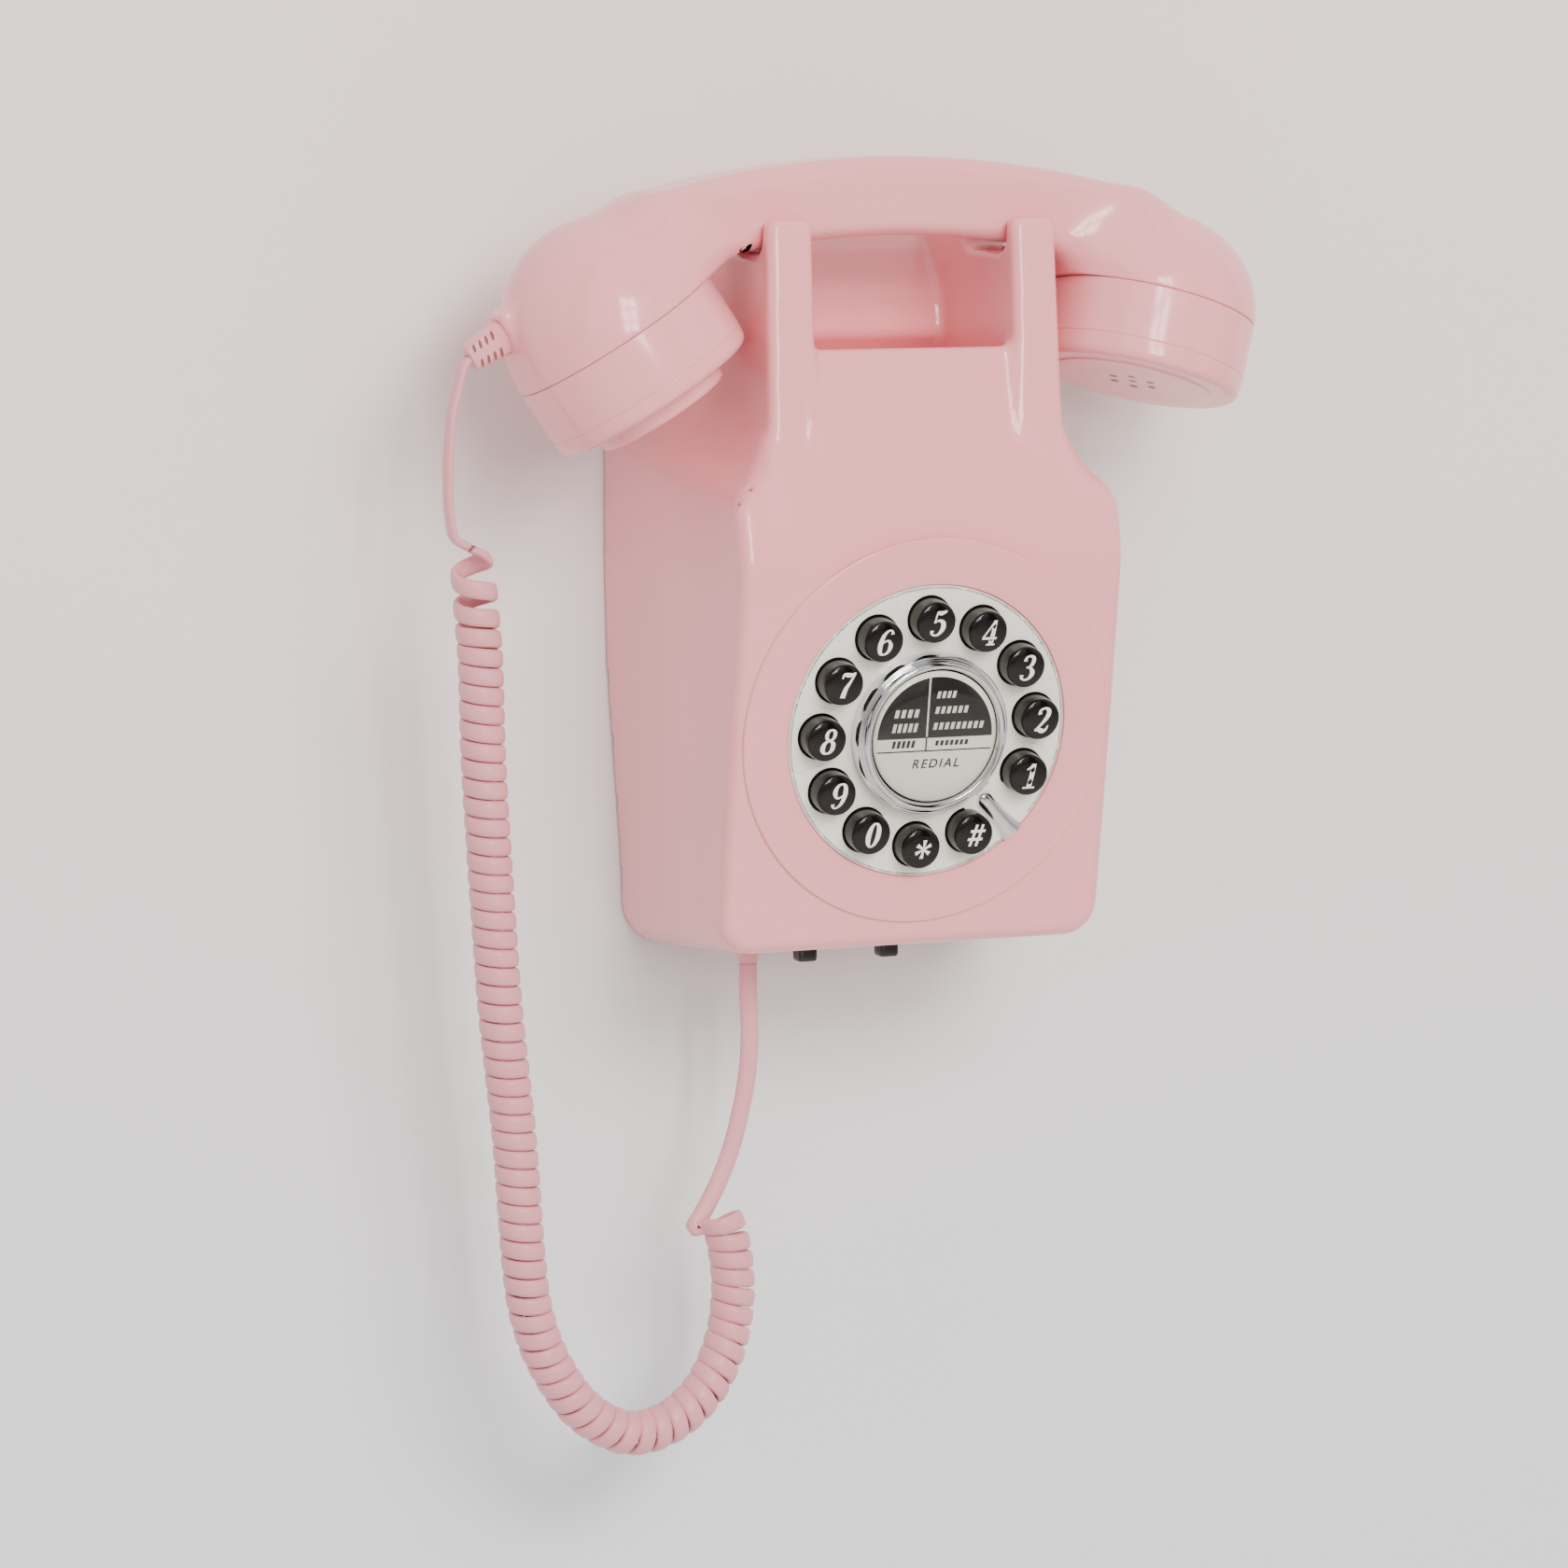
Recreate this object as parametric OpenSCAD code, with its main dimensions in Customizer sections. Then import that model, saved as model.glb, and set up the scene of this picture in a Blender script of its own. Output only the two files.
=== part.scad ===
// Wall telephone with a round push-button dial, a cradle with two pillars,
// a curved handset and a curly handset cord.
// The wall is the plane y = 0 and the telephone stands out of it along -Y.
// z = 0 is the height of the dial's centre, and x = 0 is the plane of symmetry.

/* [Case] */
// Half width of the case at its front panel
front_half_w = 55.5; // [52:0.5:56]
// Half width of the case at the wall, at its top
wall_half_w = 60; // [58:0.5:64]
// Height of the case's shoulder at the wall
shoulder_z = 75; // [72:0.5:78]
// Depth of the case's underside at the wall, below the dial's centre
under_z = 65.5; // [63:0.5:68]
// Thickness of the moulded walls
wall_t = 2.5; // [2:0.1:3]

/* [Dial] */
// Distance of the dial's centre from the wall
dial_y = 82; // [80:0.5:84]
// Angle by which the front panel faces down
tilt = 9; // [7:0.5:11]
// Radius of the pink bezel round the dial
bezel_r = 53; // [51:0.5:53]
// Radius of the white dial disc
disc_r = 40; // [39:0.5:41]
// Radius of the circle on which the keys lie
key_ring_r = 31.1; // [30.5:0.1:31.5]
// Radius of a key cap
key_r = 6; // [5.5:0.1:6]
// Height of a key cap above the panel
key_h = 6.2; // [5.5:0.1:6.5]
// Angle of the first key, measured from +X
key_a0 = -23; // [-24:0.5:-22]
// Angle between two neighbouring keys
key_step = 29; // [28.8:0.1:29.2]
// Outer radius of the chrome ring
ring_r = 22; // [21.5:0.1:22.5]
// Height of the chrome ring above the panel
ring_h = 6.8; // [6:0.1:7]
// Radius of the redial button
redial_r = 18; // [17.5:0.1:18.2]

/* [Cradle] */
// Half distance between the outer faces of the two webs
web_out = 42; // [41:0.5:43]
// Half distance between the inner faces of the two webs
web_in = 29; // [28:0.5:30]
// Height of the pillars' tops
pillar_z = 136; // [134:0.5:138]
// Height of the saddle's lowest line
saddle_z = 127; // [126:0.1:127.2]
// Height of the floor of the pocket between the webs
pocket_z = 88; // [84:1:92]

/* [Handset] */
// Distance of the handset's middle plane from the wall
hs_y = 55; // [54:0.5:56]
// Radius of the handle's crown, seen from the front
crown_r = 265; // [255:1:275]
// Height of the handle's crown
crown_z = 152; // [151:0.5:153]
// Thickness of the handle, top to bottom
handle_t = 21; // [20:0.5:22]
// Width of the handle, front to back
handle_w = 24; // [22:0.5:24]
// Half distance between the cups' centres
cup_x = 78.5; // [78:0.1:79]
// Height of the middle of the mouthpiece's parting line
mouth_z = 105.8; // [105:0.1:106.5]
// Height of the middle of the earpiece's parting line
ear_z = 110.6; // [110:0.1:111]
// Radius of the cups
cup_r = 29.4; // [29:0.1:29.6]
// Angle by which the mouthpiece faces the earpiece
mouth_tilt = 32; // [30:0.5:33]
// Angle by which the earpiece faces the mouthpiece
ear_tilt = 16.8; // [15:0.1:18]
// Angle by which both cups lean away from the wall
cup_lean = 8.5; // [6:0.5:10]
// Height of the caps' rims
cap_h = 21; // [20:0.5:22]

/* [Cord] */
// Outer diameter of the coiled part of the cord
coil_d = 12.6; // [12:0.1:13]
// Diameter of the plain part of the cord
cord_d = 3.2; // [3:0.1:3.6]

/* [Hidden] */
$fn = 48;
pink = "#e2bcbc";
cream = "#dcdacd";
black = "#1c1b1b";
silver = "#cfcfd2";
board_green = "#3f6b4b";
steel_grey = "#8f9296";
white = "#e9e7e2";

// Case: centres and radii of its rounded corners
edge_r = 3;
corner_r = 8;
back_corner_r = 12;
back_corner_x = wall_half_w - 4 - back_corner_r;
side_r = 2;
brow_v = 51.5;
shoulder_y = 78;
shoulder_front_z = 60;
plate_t = 3;
gap = 0.3;

// Screw bosses of the case: x and z of each, and the radii of boss and bore
BOSSES = [[-48, -48], [48, -48], [-50, 62], [50, 62]];
boss_r = 4;
screw_r = 1.4;
boss_y = 26;

// Wall hooks: heights of the two keyholes
KEYHOLES = [55, -25];
keyhole_r = 5;
keyhole_slot_r = 2.25;

// Entry of the wall line's cable through the base plate: its x and z
cable_x = 24;
cable_z = -50;

// Dial: levels along the panel's outward normal
bezel_sink = 1.2;
bezel_top = 0.8;
bezel_lip_r = 38.6;
case_hole_r = 46;
disc_top = 0.5;
disc_low = -0.6;
key_gap = 0.3;
key_flange_r = 6.8;
key_travel = 1.8;
membrane_top = -6.2;
dome_h = 0.3;
board_top = -7.2;
board_t = 1.6;
POSTS = [70, 190, 310];
post_x = 42.4;
post_r = 2.2;
redial_top = 5.4;
stop_a = 313;
stop_h = 1.9;

// Underside: places of the two slide switches and of the cord's gland
KNOBS = [-24, 0];
knob_y = 56;
knob_w = 5.6;
gland_x = -34;
gland_y = 40;
gland_r = 3.6;
gland_low = 66;
switch_z = -55.8;

// Hook: the two plungers that the handle rests on
hook_x = 35.5;
hook_w = 6;
hook_d = 8;
hook_bar_z = 50;
saddle_r = 6.3;
web_hollow = web_out - web_in - 2 * wall_t;

// Handset: heights of the cups' domes, half angle of the handle's arc, and the strain
// relief's line
mouth_dome = 32;
ear_dome = 26.5;
cap_round = 5.5;
handle_a = 17.5;
handle_r = 6;
relief_a = -121.5;
relief_start = [-109.3, -hs_y, 106.1];
relief_len = 10.4;
relief_flat = 0.72;
relief_dir = [sin(relief_a), 0, cos(relief_a)];
relief_tip = relief_start + relief_len * relief_dir;

// Routes of the cord, from points chosen by hand
LEAD = [
    relief_tip + 0.6 * relief_dir, relief_tip + 2.4 * relief_dir, [-121.5, -55, 94.5],
    [-123.6, -55, 86], [-125, -55, 74], [-125, -55, 62], [-123.8, -55, 53], [-123.5, -55, 47]
];
COIL = [
    [-118.5, -55, 47], [-117, -54, 33], [-116, -54, 20], [-115, -53, -5], [-113.5, -52, -25],
    [-112, -51, -43], [-109.5, -50, -73], [-105, -48, -108], [-102, -47, -143],
    [-99, -46, -159], [-93.5, -45, -172], [-84, -44, -185], [-71, -43, -192.5],
    [-58.5, -42, -191], [-47.5, -41, -183], [-40.5, -40, -170], [-38.5, -40, -155.5],
    [-40, -40, -142], [-42.5, -40, -135.5]
];
TAIL = [
    [-34, -40, -66], [-34, -40, -74], [-33.5, -40, -84], [-34, -40, -95], [-36, -40, -106],
    [-39, -40, -118], [-43, -40, -128], [-46, -40, -134.2]
];

// A point of the smooth curve through list p, in span i at fraction t
function curve_point(p, i, t) =
    let (
        a = p[max(i - 1, 0)],
        b = p[i],
        c = p[i + 1],
        d = p[min(i + 2, len(p) - 1)]
    )
    0.5 * (2 * b + (c - a) * t + (2 * a - 5 * b + 4 * c - d) * t * t
        + (3 * b - a - 3 * c + d) * t * t * t);

// The whole curve through list p, with k steps in each span
function smooth(p, k) = concat(
    [for (i = [0 : len(p) - 2]) for (j = [0 : k - 1]) curve_point(p, i, j / k)],
    [p[len(p) - 1]]
);

function unit(v) = v / norm(v);

// The direction of list p at point i
function heading(p, i) = unit(p[min(i + 1, len(p) - 1)] - p[max(i - 1, 0)]);

// One ring of n points and radius r round point i of list p
function ring(p, i, r, n) =
    let (
        t = heading(p, i),
        u = unit(cross(t, [0, 1, 0])),
        v = cross(t, u)
    )
    [for (k = [0 : n - 1]) p[i] + r * (cos(360 * k / n) * u + sin(360 * k / n) * v)];

// A round arc of points, for outlines
function arc(cx, cy, r, a0, a1, n) =
    [for (i = [0 : n]) let (a = a0 + (a1 - a0) * i / n) [cx + r * cos(a), cy + r * sin(a)]];

// A closed tube of radius r with n sides along list p
module tube(p, r, n) {
    m = len(p);
    points = [for (i = [0 : m - 1]) each ring(p, i, r, n)];
    sides = [
        for (i = [0 : m - 2]) for (k = [0 : n - 1])
            let (q = (k + 1) % n, low = i * n, high = low + n)
            each [[low + k, low + q, high + q], [low + k, high + q, high + k]]
    ];
    first = [for (k = [n - 1 : -1 : 0]) k];
    last = [for (k = [0 : n - 1]) (m - 1) * n + k];
    polyhedron(points, concat(sides, [first, last]));
}

// Places its children on the front panel: +Z is the panel's outward normal
module on_panel() {
    translate([0, -dial_y, 0]) rotate([90 + tilt, 0, 0]) children();
}

// Places its children at key number i of the dial
module at_key(i) {
    a = key_a0 + i * key_step;
    translate([key_ring_r * cos(a), key_ring_r * sin(a), 0]) children();
}

// Places its children on a cup's axis: side is -1 at the mouth and 1 at the ear
module on_cup(side) {
    translate([side * cup_x, -hs_y, side < 0 ? mouth_z : ear_z]) rotate([-cup_lean, 0, 0])
        rotate([0, side < 0 ? -mouth_tilt : ear_tilt, 0]) children();
}

// A cup's dome above its parting plane, with its skin moved out by t
module dome(side, t) {
    h = side < 0 ? mouth_dome : ear_dome;
    on_cup(side) difference() {
        scale([1, 1, (h + t) / (cup_r + t)]) sphere(r = cup_r + t, $fn = 64);
        translate([-40, -40, -80]) cube([80, 80, 80]);
    }
}

// A disc with its axis along Y, from y = -far to y = -near
module y_disc(r, x, z, near, far) {
    translate([x, -near, z]) rotate([90, 0, 0]) cylinder(r = r, h = far - near);
}

// The case's block, with every face moved in by t and the back moved out by t
module block(t) {
    hull() {
        for (s = [-1, 1]) {
            on_panel() translate([s * (front_half_w - corner_r), -51.5, -edge_r - t])
                cylinder(r1 = corner_r - t, r2 = corner_r - edge_r - t, h = edge_r, $fn = 32);
            on_panel() translate([s * (front_half_w - edge_r - t), brow_v - t, -edge_r - t])
                sphere(r = edge_r, $fn = 24);
            translate([s * (front_half_w - edge_r - t), -shoulder_y + t, shoulder_front_z - t])
                sphere(r = edge_r, $fn = 24);
            y_disc(back_corner_r - t, s * back_corner_x, back_corner_r - under_z, -t, 1);
            y_disc(side_r, s * (wall_half_w - 4.5 - t), -12, -t, 1);
            y_disc(side_r, s * (wall_half_w - 2.5 - t), 13, -t, 1);
            y_disc(side_r, s * (wall_half_w - side_r - t), shoulder_z - side_r - t, -t, 1);
        }
    }
}

// Side outline of a web with its pillar and saddle, as points of y and z
function web_outline() = concat(
    [[0, 56], [-77, 56], [-77, 80]],
    arc(-70.8, pillar_z - 2.5, 2.5, 180, 90, 4),
    arc(-69, pillar_z - 1.7, 1.7, 90, 0, 4),
    arc(saddle_r - 67.3, saddle_z + saddle_r, saddle_r, 180, 270, 6),
    arc(-49, saddle_z + saddle_r, saddle_r, 270, 340, 6),
    arc(-36, pillar_z - 5, 4, 150, 90, 4),
    [[-6, pillar_z - 1], [0, pillar_z - 3]]
);

// Side outline of the wall at the back of the pocket, with its round belly
function belly_outline() = concat(
    [[0, 56], [-20, 56], [-20, 97]],
    arc(-20.5, 106, 8, 240, 150, 6),
    [[-22, 119.5], [-16, 126.5], [-9, 132], [0, pillar_z - 3]]
);

// Extrudes an outline of y and z points from x = -w to x = w
module across(points, w) {
    translate([-w, 0, 0]) rotate([90, 0, 90]) linear_extrude(2 * w) polygon(points);
}

// The hollows behind the pocket and under its floor
module pocket_hollows() {
    translate([-web_in + wall_t, -17, 60]) cube([2 * (web_in - wall_t), 20, 64]);
    translate([-web_in + wall_t, -66, 50])
        cube([2 * (web_in - wall_t), 50, pocket_z - wall_t - 50]);
}

// The hole for a hook plunger, through the case's top and a web's saddle
module plunger_hole(s) {
    translate([s * hook_x - hook_w / 2 - gap, -hs_y - hook_d / 2 - gap, 50])
        cube([hook_w + 2 * gap, hook_d + 2 * gap, saddle_z - 40]);
}

module front_case() {
    color(pink)
    difference() {
        block(0);
        difference() {
            block(wall_t);
            for (b = BOSSES) {
                y_disc(boss_r, b[0], b[1], plate_t, boss_y);
                translate([b[0] < 0 ? -60 : b[0], -boss_y, b[1] - 1.2])
                    cube([60 - abs(b[0]), boss_y - plate_t, 2.4]);
            }
        }
        pocket_hollows();
        for (s = [-1, 1])
            plunger_hole(s);
        for (b = BOSSES)
            y_disc(screw_r - 0.1, b[0], b[1], plate_t - 1, boss_y - 4);
        on_panel() translate([0, 0, -bezel_sink]) cylinder(r = bezel_r + 0.1, h = 9, $fn = 96);
        on_panel() translate([0, 0, -9]) cylinder(r = case_hole_r, h = 12, $fn = 96);
        // Slots of the two switches, and the hole for the cord's gland
        for (x = KNOBS)
            translate([x - knob_w / 2 - 3, -knob_y - 3.5, -under_z - 1]) cube([knob_w + 6, 7, 16]);
        translate([gland_x, -gland_y, -under_z - 2]) cylinder(r = gland_r, h = 12);
    }
}

// One side of the cradle, on top of the case: pillar, saddle and high back
module cradle_side(s) {
    x = s * (web_in + web_out) / 2;
    color(pink) difference() {
        translate([x, 0, 0]) across(web_outline(), (web_out - web_in) / 2);
        block(0);
        translate([x - web_hollow / 2, -72, 56]) cube([web_hollow, 69, saddle_z - 4 - 56]);
        plunger_hole(s);
    }
}

module cradle_left() { cradle_side(-1); }
module cradle_right() { cradle_side(1); }

module pocket_front() {
    color(pink) difference() {
        across([[-69, 56], [-76.5, 56], [-76.5, 78], [-73, 100], [-71.8, 101], [-69, 101]],
            web_in);
        block(0);
    }
}

module pocket_back() {
    color(pink) difference() {
        union() {
            across(belly_outline(), web_in);
            translate([-web_in, -69, 56]) cube([2 * web_in, 50, pocket_z - 56]);
        }
        block(0);
        pocket_hollows();
    }
}

// The base plate's outline, which fits inside the case's back edge
module plate_shape() {
    t = wall_t + gap;
    hull()
        for (s = [-1, 1]) {
            translate([s * back_corner_x, back_corner_r - under_z]) circle(r = back_corner_r - t);
            translate([s * (wall_half_w - 4.5 - t), -12]) circle(r = side_r);
            translate([s * (wall_half_w - 2.5 - t), 13]) circle(r = side_r);
            translate([s * (wall_half_w - side_r - t), shoulder_z - side_r - t])
                circle(r = side_r);
        }
}

module base_plate() {
    tongue = web_in - wall_t - gap;
    color(black)
    difference() {
        union() {
            rotate([90, 0, 0]) linear_extrude(plate_t) difference() {
                plate_shape();
                for (s = [-1, 1])
                    translate([s * (web_in + web_out) / 2, 68])
                        square([web_out - web_in + 2 * gap, 26], center = true);
            }
            translate([-tongue, -plate_t, 50]) cube([2 * tongue, plate_t, 73.5]);
            for (x = [-36, 36])
                for (z = [-40, 30])
                    y_disc(3, x, z, plate_t - 1, 12);
        }
        for (b = BOSSES)
            y_disc(screw_r + 0.2, b[0], b[1], -1, plate_t + 1);
        y_disc(1.9, cable_x, cable_z, -1, plate_t + 1);
        for (z = KEYHOLES) {
            y_disc(keyhole_r, 0, z, -1, plate_t + 1);
            y_disc(keyhole_slot_r, 0, z + 8, -1, plate_t + 1);
            translate([-keyhole_slot_r, -plate_t - 1, z]) cube([2 * keyhole_slot_r, plate_t + 2, 8]);
        }
    }
}

module dial_bezel() {
    color(pink) on_panel() difference() {
        union() {
            rotate_extrude($fn = 96) polygon([
                [bezel_lip_r, -bezel_sink], [bezel_r, -bezel_sink], [bezel_r, bezel_top - 0.6],
                [bezel_r - 0.6, bezel_top], [disc_r + 0.2, bezel_top], [disc_r + 0.2, disc_low],
                [bezel_lip_r, disc_low]
            ]);
            for (a = POSTS)
                rotate(a) translate([post_x, 0, board_top])
                    cylinder(r = post_r, h = -board_top - bezel_sink + 0.2);
        }
        for (a = POSTS)
            rotate(a) translate([post_x, 0, board_top - 1]) cylinder(r = 1, h = 6, $fn = 24);
    }
}

module dial_plate() {
    color(cream) on_panel() difference() {
        translate([0, 0, disc_low]) cylinder(r = disc_r, h = disc_top - disc_low, $fn = 96);
        for (i = [0 : 11])
            at_key(i) translate([0, 0, -2]) cylinder(r = key_r + key_gap, h = 4);
        translate([0, 0, -2]) cylinder(r = redial_r + 0.4, h = 4, $fn = 96);
    }
}

module chrome_ring() {
    color(silver) on_panel() rotate_extrude($fn = 96) polygon(concat(
        [[redial_r + 0.4, disc_top], [ring_r, disc_top], [ring_r, 3.2]],
        arc(ring_r - 1, 4, 1, 0, 90, 4),
        arc(redial_r + 1.4, ring_h - 1, 1, 0, 180, 8)
    ));
}

module finger_stop() {
    color(silver) on_panel() rotate(stop_a) {
        for (step = [0, 0.6])
            translate([0, 0, disc_top]) linear_extrude(stop_h - 1 + step * 5 / 3)
                offset(-step) polygon(concat(
                    [[39.8, -3.4], [39.8, 3.4], [37, 2.9], [33, 2.4]],
                    arc(27.1, 0, 2.4, 80, 280, 8),
                    [[33, -2.4], [37, -2.9]]
                ));
    }
}

module keypad_membrane() {
    color(steel_grey) on_panel() union() {
        translate([0, 0, board_top])
            cylinder(r = bezel_lip_r, h = membrane_top - board_top, $fn = 96);
        for (i = [0 : 11])
            at_key(i) translate([0, 0, membrane_top]) cylinder(r = 4, h = dome_h, $fn = 24);
    }
}

module keypad_board() {
    color(board_green) on_panel() difference() {
        translate([0, 0, board_top - board_t]) cylinder(r = 45, h = board_t, $fn = 96);
        for (a = POSTS)
            rotate(a) translate([post_x, 0, board_top - 3]) cylinder(r = 1.2, h = 6, $fn = 24);
    }
}

module board_screws() {
    color(steel_grey) on_panel() for (a = POSTS)
        rotate(a) translate([post_x, 0, board_top - board_t]) {
            cylinder(r = 0.9, h = 5, $fn = 24);
            translate([0, 0, -1.5]) cylinder(r = 2, h = 1.5, $fn = 24);
        }
}

module main_board() {
    color(board_green) difference() {
        translate([-42, -12 - board_t, -46]) cube([84, board_t, 88]);
        y_disc(19, 0, -14, 10, 16);
    }
}

module hook_switch() {
    color(black) union() {
        translate([-8, -hs_y - 5, 30]) cube([16, 10, 8]);
        translate([-6, -hs_y + 5, 32]) cube([12, hs_y - 5 - 12 - board_t, 4]);
    }
}

module ringer_speaker() {
    color(steel_grey) union() {
        y_disc(18, 0, -14, plate_t, 9);
        y_disc(10, 0, -14, 9, 20);
    }
}

// The terminals of the wall line's cable, on the base plate above its entry
module line_terminals() {
    color(black) difference() {
        translate([cable_x - 9, -11, cable_z + 4]) cube([18, 11 - plate_t, 8]);
        for (i = [-1.5 : 1.5])
            y_disc(1.5, cable_x + 4.2 * i, cable_z + 8, 8, 12);
    }
}

// A slide switch's body, above the slot at x
module switch_body(x) {
    color(steel_grey) difference() {
        translate([x - 7, -knob_y - 4.5, switch_z]) cube([14, 9, 8]);
        translate([x - 5.8, -knob_y - 1.8, switch_z - 1]) cube([11.6, 3.6, 6]);
    }
}

// The knob of the slide switch at x, with its ribbed end below the case
module switch_knob(x) {
    color(black) union() {
        translate([x - knob_w / 2, -knob_y - 2.6, -64]) cube([knob_w, 5.2, 6.8]);
        translate([x - 1.2, -knob_y - 1.2, -57.2]) cube([2.4, 2.4, 4.9]);
    }
}

module volume_switch() { switch_body(KNOBS[0]); }
module tone_switch() { switch_body(KNOBS[1]); }
module volume_knob() { switch_knob(KNOBS[0]); }
module tone_knob() { switch_knob(KNOBS[1]); }

module case_screws() {
    color(steel_grey) for (b = BOSSES) {
        y_disc(screw_r - 0.15, b[0], b[1], plate_t, boss_y - 8);
        y_disc(screw_r, b[0], b[1], 0.6, plate_t);
    }
}

module cord_gland() {
    color(pink) translate([gland_x, -gland_y, 0]) union() {
        translate([0, 0, -gland_low]) cylinder(r1 = 2.6, r2 = gland_r - 0.1, h = 3.6);
        translate([0, 0, 3.6 - gland_low]) cylinder(r = gland_r - 0.1, h = 5);
        translate([0, 0, 8.6 - gland_low]) cylinder(r = gland_r + 1.4, h = 1.6);
    }
}

module hook_plunger() {
    color(pink) union() {
        for (s = [-1, 1])
            translate([s * hook_x - hook_w / 2, -hs_y - hook_d / 2, hook_bar_z])
                cube([hook_w, hook_d, saddle_z + 0.6 - hook_bar_z]);
        translate([-hook_x, -hs_y - hook_d / 2, hook_bar_z]) cube([2 * hook_x, hook_d, 4]);
    }
}

module hook_spring() {
    turns = 5;
    steps = 12;
    helix = [
        for (i = [0 : turns * steps])
            let (a = 360 * i / steps, h = i / (turns * steps))
            [3 * cos(a), 3 * sin(a) - hs_y, 38.6 + 10.8 * h]
    ];
    color(silver) tube(helix, 0.5, 6);
}

module key(i) {
    color(black) on_panel() at_key(i) rotate_extrude($fn = 48) polygon(concat(
        [[0, -4], [4, -4], [4, -1.8], [key_flange_r, -1.8], [key_flange_r, -0.8],
            [key_r, -0.8]],
        arc(key_r - 1.9, key_h - 2, 1.6, 0, 70, 5),
        [[0, key_h]]
    ));
}

module redial_cap() {
    color(black) on_panel() rotate_extrude($fn = 96) polygon([
        [0, -3.6], [14, -3.6], [14, -1.8], [redial_r + 1.6, -1.8], [redial_r + 1.6, -0.9],
        [redial_r, -0.9], [redial_r, redial_top], [0, redial_top]
    ]);
}

module label_card() {
    color(cream) on_panel() translate([0, 0, redial_top])
        cylinder(r = redial_r - 0.3, h = 0.3, $fn = 96);
}

module redial_lens() {
    low = redial_top + 0.3;
    color(white, 0.4) on_panel() rotate_extrude($fn = 96) polygon([
        [0, low], [redial_r - 0.3, low], [redial_r - 0.3, low + 0.5], [15, low + 1.3],
        [8, low + 1.9], [0, low + 2.1]
    ]);
}

// Cross-section of the handle, grown by t on each side
module handle_section(t) {
    h = handle_t + 2 * t;
    w = handle_w + 2 * t;
    r = handle_r + t;
    translate([crown_r - handle_t / 2, 0]) union() {
        square([h, w - 2 * r], center = true);
        square([h - 2 * r, w], center = true);
        for (x = [-1, 1])
            for (y = [-1, 1])
                translate([x * (h / 2 - r), y * (w / 2 - r)]) circle(r = r, $fn = 32);
    }
}

// The handle's arc, from -a to a, with its cross-section grown by t
module handle_arc(a, t) {
    translate([0, -hs_y, crown_z - crown_r]) rotate([90, 0, 0]) rotate(90 - a)
        rotate_extrude(angle = 2 * a, $fn = 240) handle_section(t);
}

module handset_shell() {
    color(pink) difference() {
        union() {
            handle_arc(handle_a, 0);
            for (s = [-1, 1])
                dome(s, 0);
            translate(relief_start) rotate([0, relief_a, 0]) scale([1, 0.85, 1])
                translate([0, 0, -9]) cylinder(r = 5.7, h = 9);
        }
        for (s = [-1, 1]) {
            dome(s, -wall_t);
            on_cup(s) translate([-40, -40, -80]) cube([80, 80, 80]);
        }
        handle_arc(handle_a - 0.4, -wall_t - 1);
    }
}

// A cup's cap: its rim, its stepped face and the holes for the sound
module cap(side, face_r) {
    shoulder = cap_h - cap_round;
    color(pink) on_cup(side) difference() {
        rotate_extrude($fn = 96) polygon(concat(
            [[cup_r - wall_t, 0], [cup_r, 0], [cup_r, -shoulder]],
            arc(cup_r - cap_round, -shoulder, cap_round, 0, -90, 6),
            [[face_r, -cap_h - 0.2], [face_r - 0.6, -cap_h - 3.4], [face_r - 2, -cap_h - 4]],
            [[0, -cap_h - 2.4], [0, -cap_h], [face_r - 3, -cap_h - 0.4]],
            [[face_r - 3, wall_t - cap_h], [cup_r - cap_round - 1, wall_t - cap_h]],
            [[cup_r - wall_t, 1 - shoulder]]
        ));
        for (a = [0 : 60 : 300])
            rotate(a) translate([6, 0, -cap_h - 6]) cylinder(r = 1.1, h = 10, $fn = 24);
        translate([0, 0, -cap_h - 6]) cylinder(r = 1.1, h = 10, $fn = 24);
    }
}

module mouthpiece_cap() { cap(-1, 19); }
module earpiece_cap() { cap(1, 21); }

module microphone() {
    color(steel_grey) on_cup(-1) translate([0, 0, 0.1 - cap_h]) cylinder(r = 12, h = 7);
}

module receiver() {
    color(steel_grey) on_cup(1) union() {
        translate([0, 0, 0.1 - cap_h]) cylinder(r = 16, h = 4);
        translate([0, 0, 4.1 - cap_h]) cylinder(r = 9, h = 6);
    }
}

module handset_weight() {
    color(steel_grey) translate([-22, -hs_y - 6, 134.6]) cube([44, 12, 9]);
}

module strain_relief() {
    color(pink) difference() {
        translate(relief_start) rotate([0, relief_a, 0]) difference() {
            scale([1, relief_flat, 1]) cylinder(r1 = 5, r2 = 3.7, h = relief_len);
            for (s = [-1, 1])
                for (i = [0 : 3])
                    translate([-5, s * 3.4 - 0.8, 2.5 + 1.85 * i]) cube([10, 1.6, 0.8]);
        }
        dome(-1, 0.1);
    }
}

module cord_lead() { color(pink) tube(smooth(LEAD, 2), cord_d / 2, 8); }
module cord_coil() { color(pink) tube(smooth(COIL, 2), coil_d / 2, 12); }
module cord_tail() { color(pink) tube(smooth(TAIL, 2), cord_d / 2, 8); }

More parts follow.
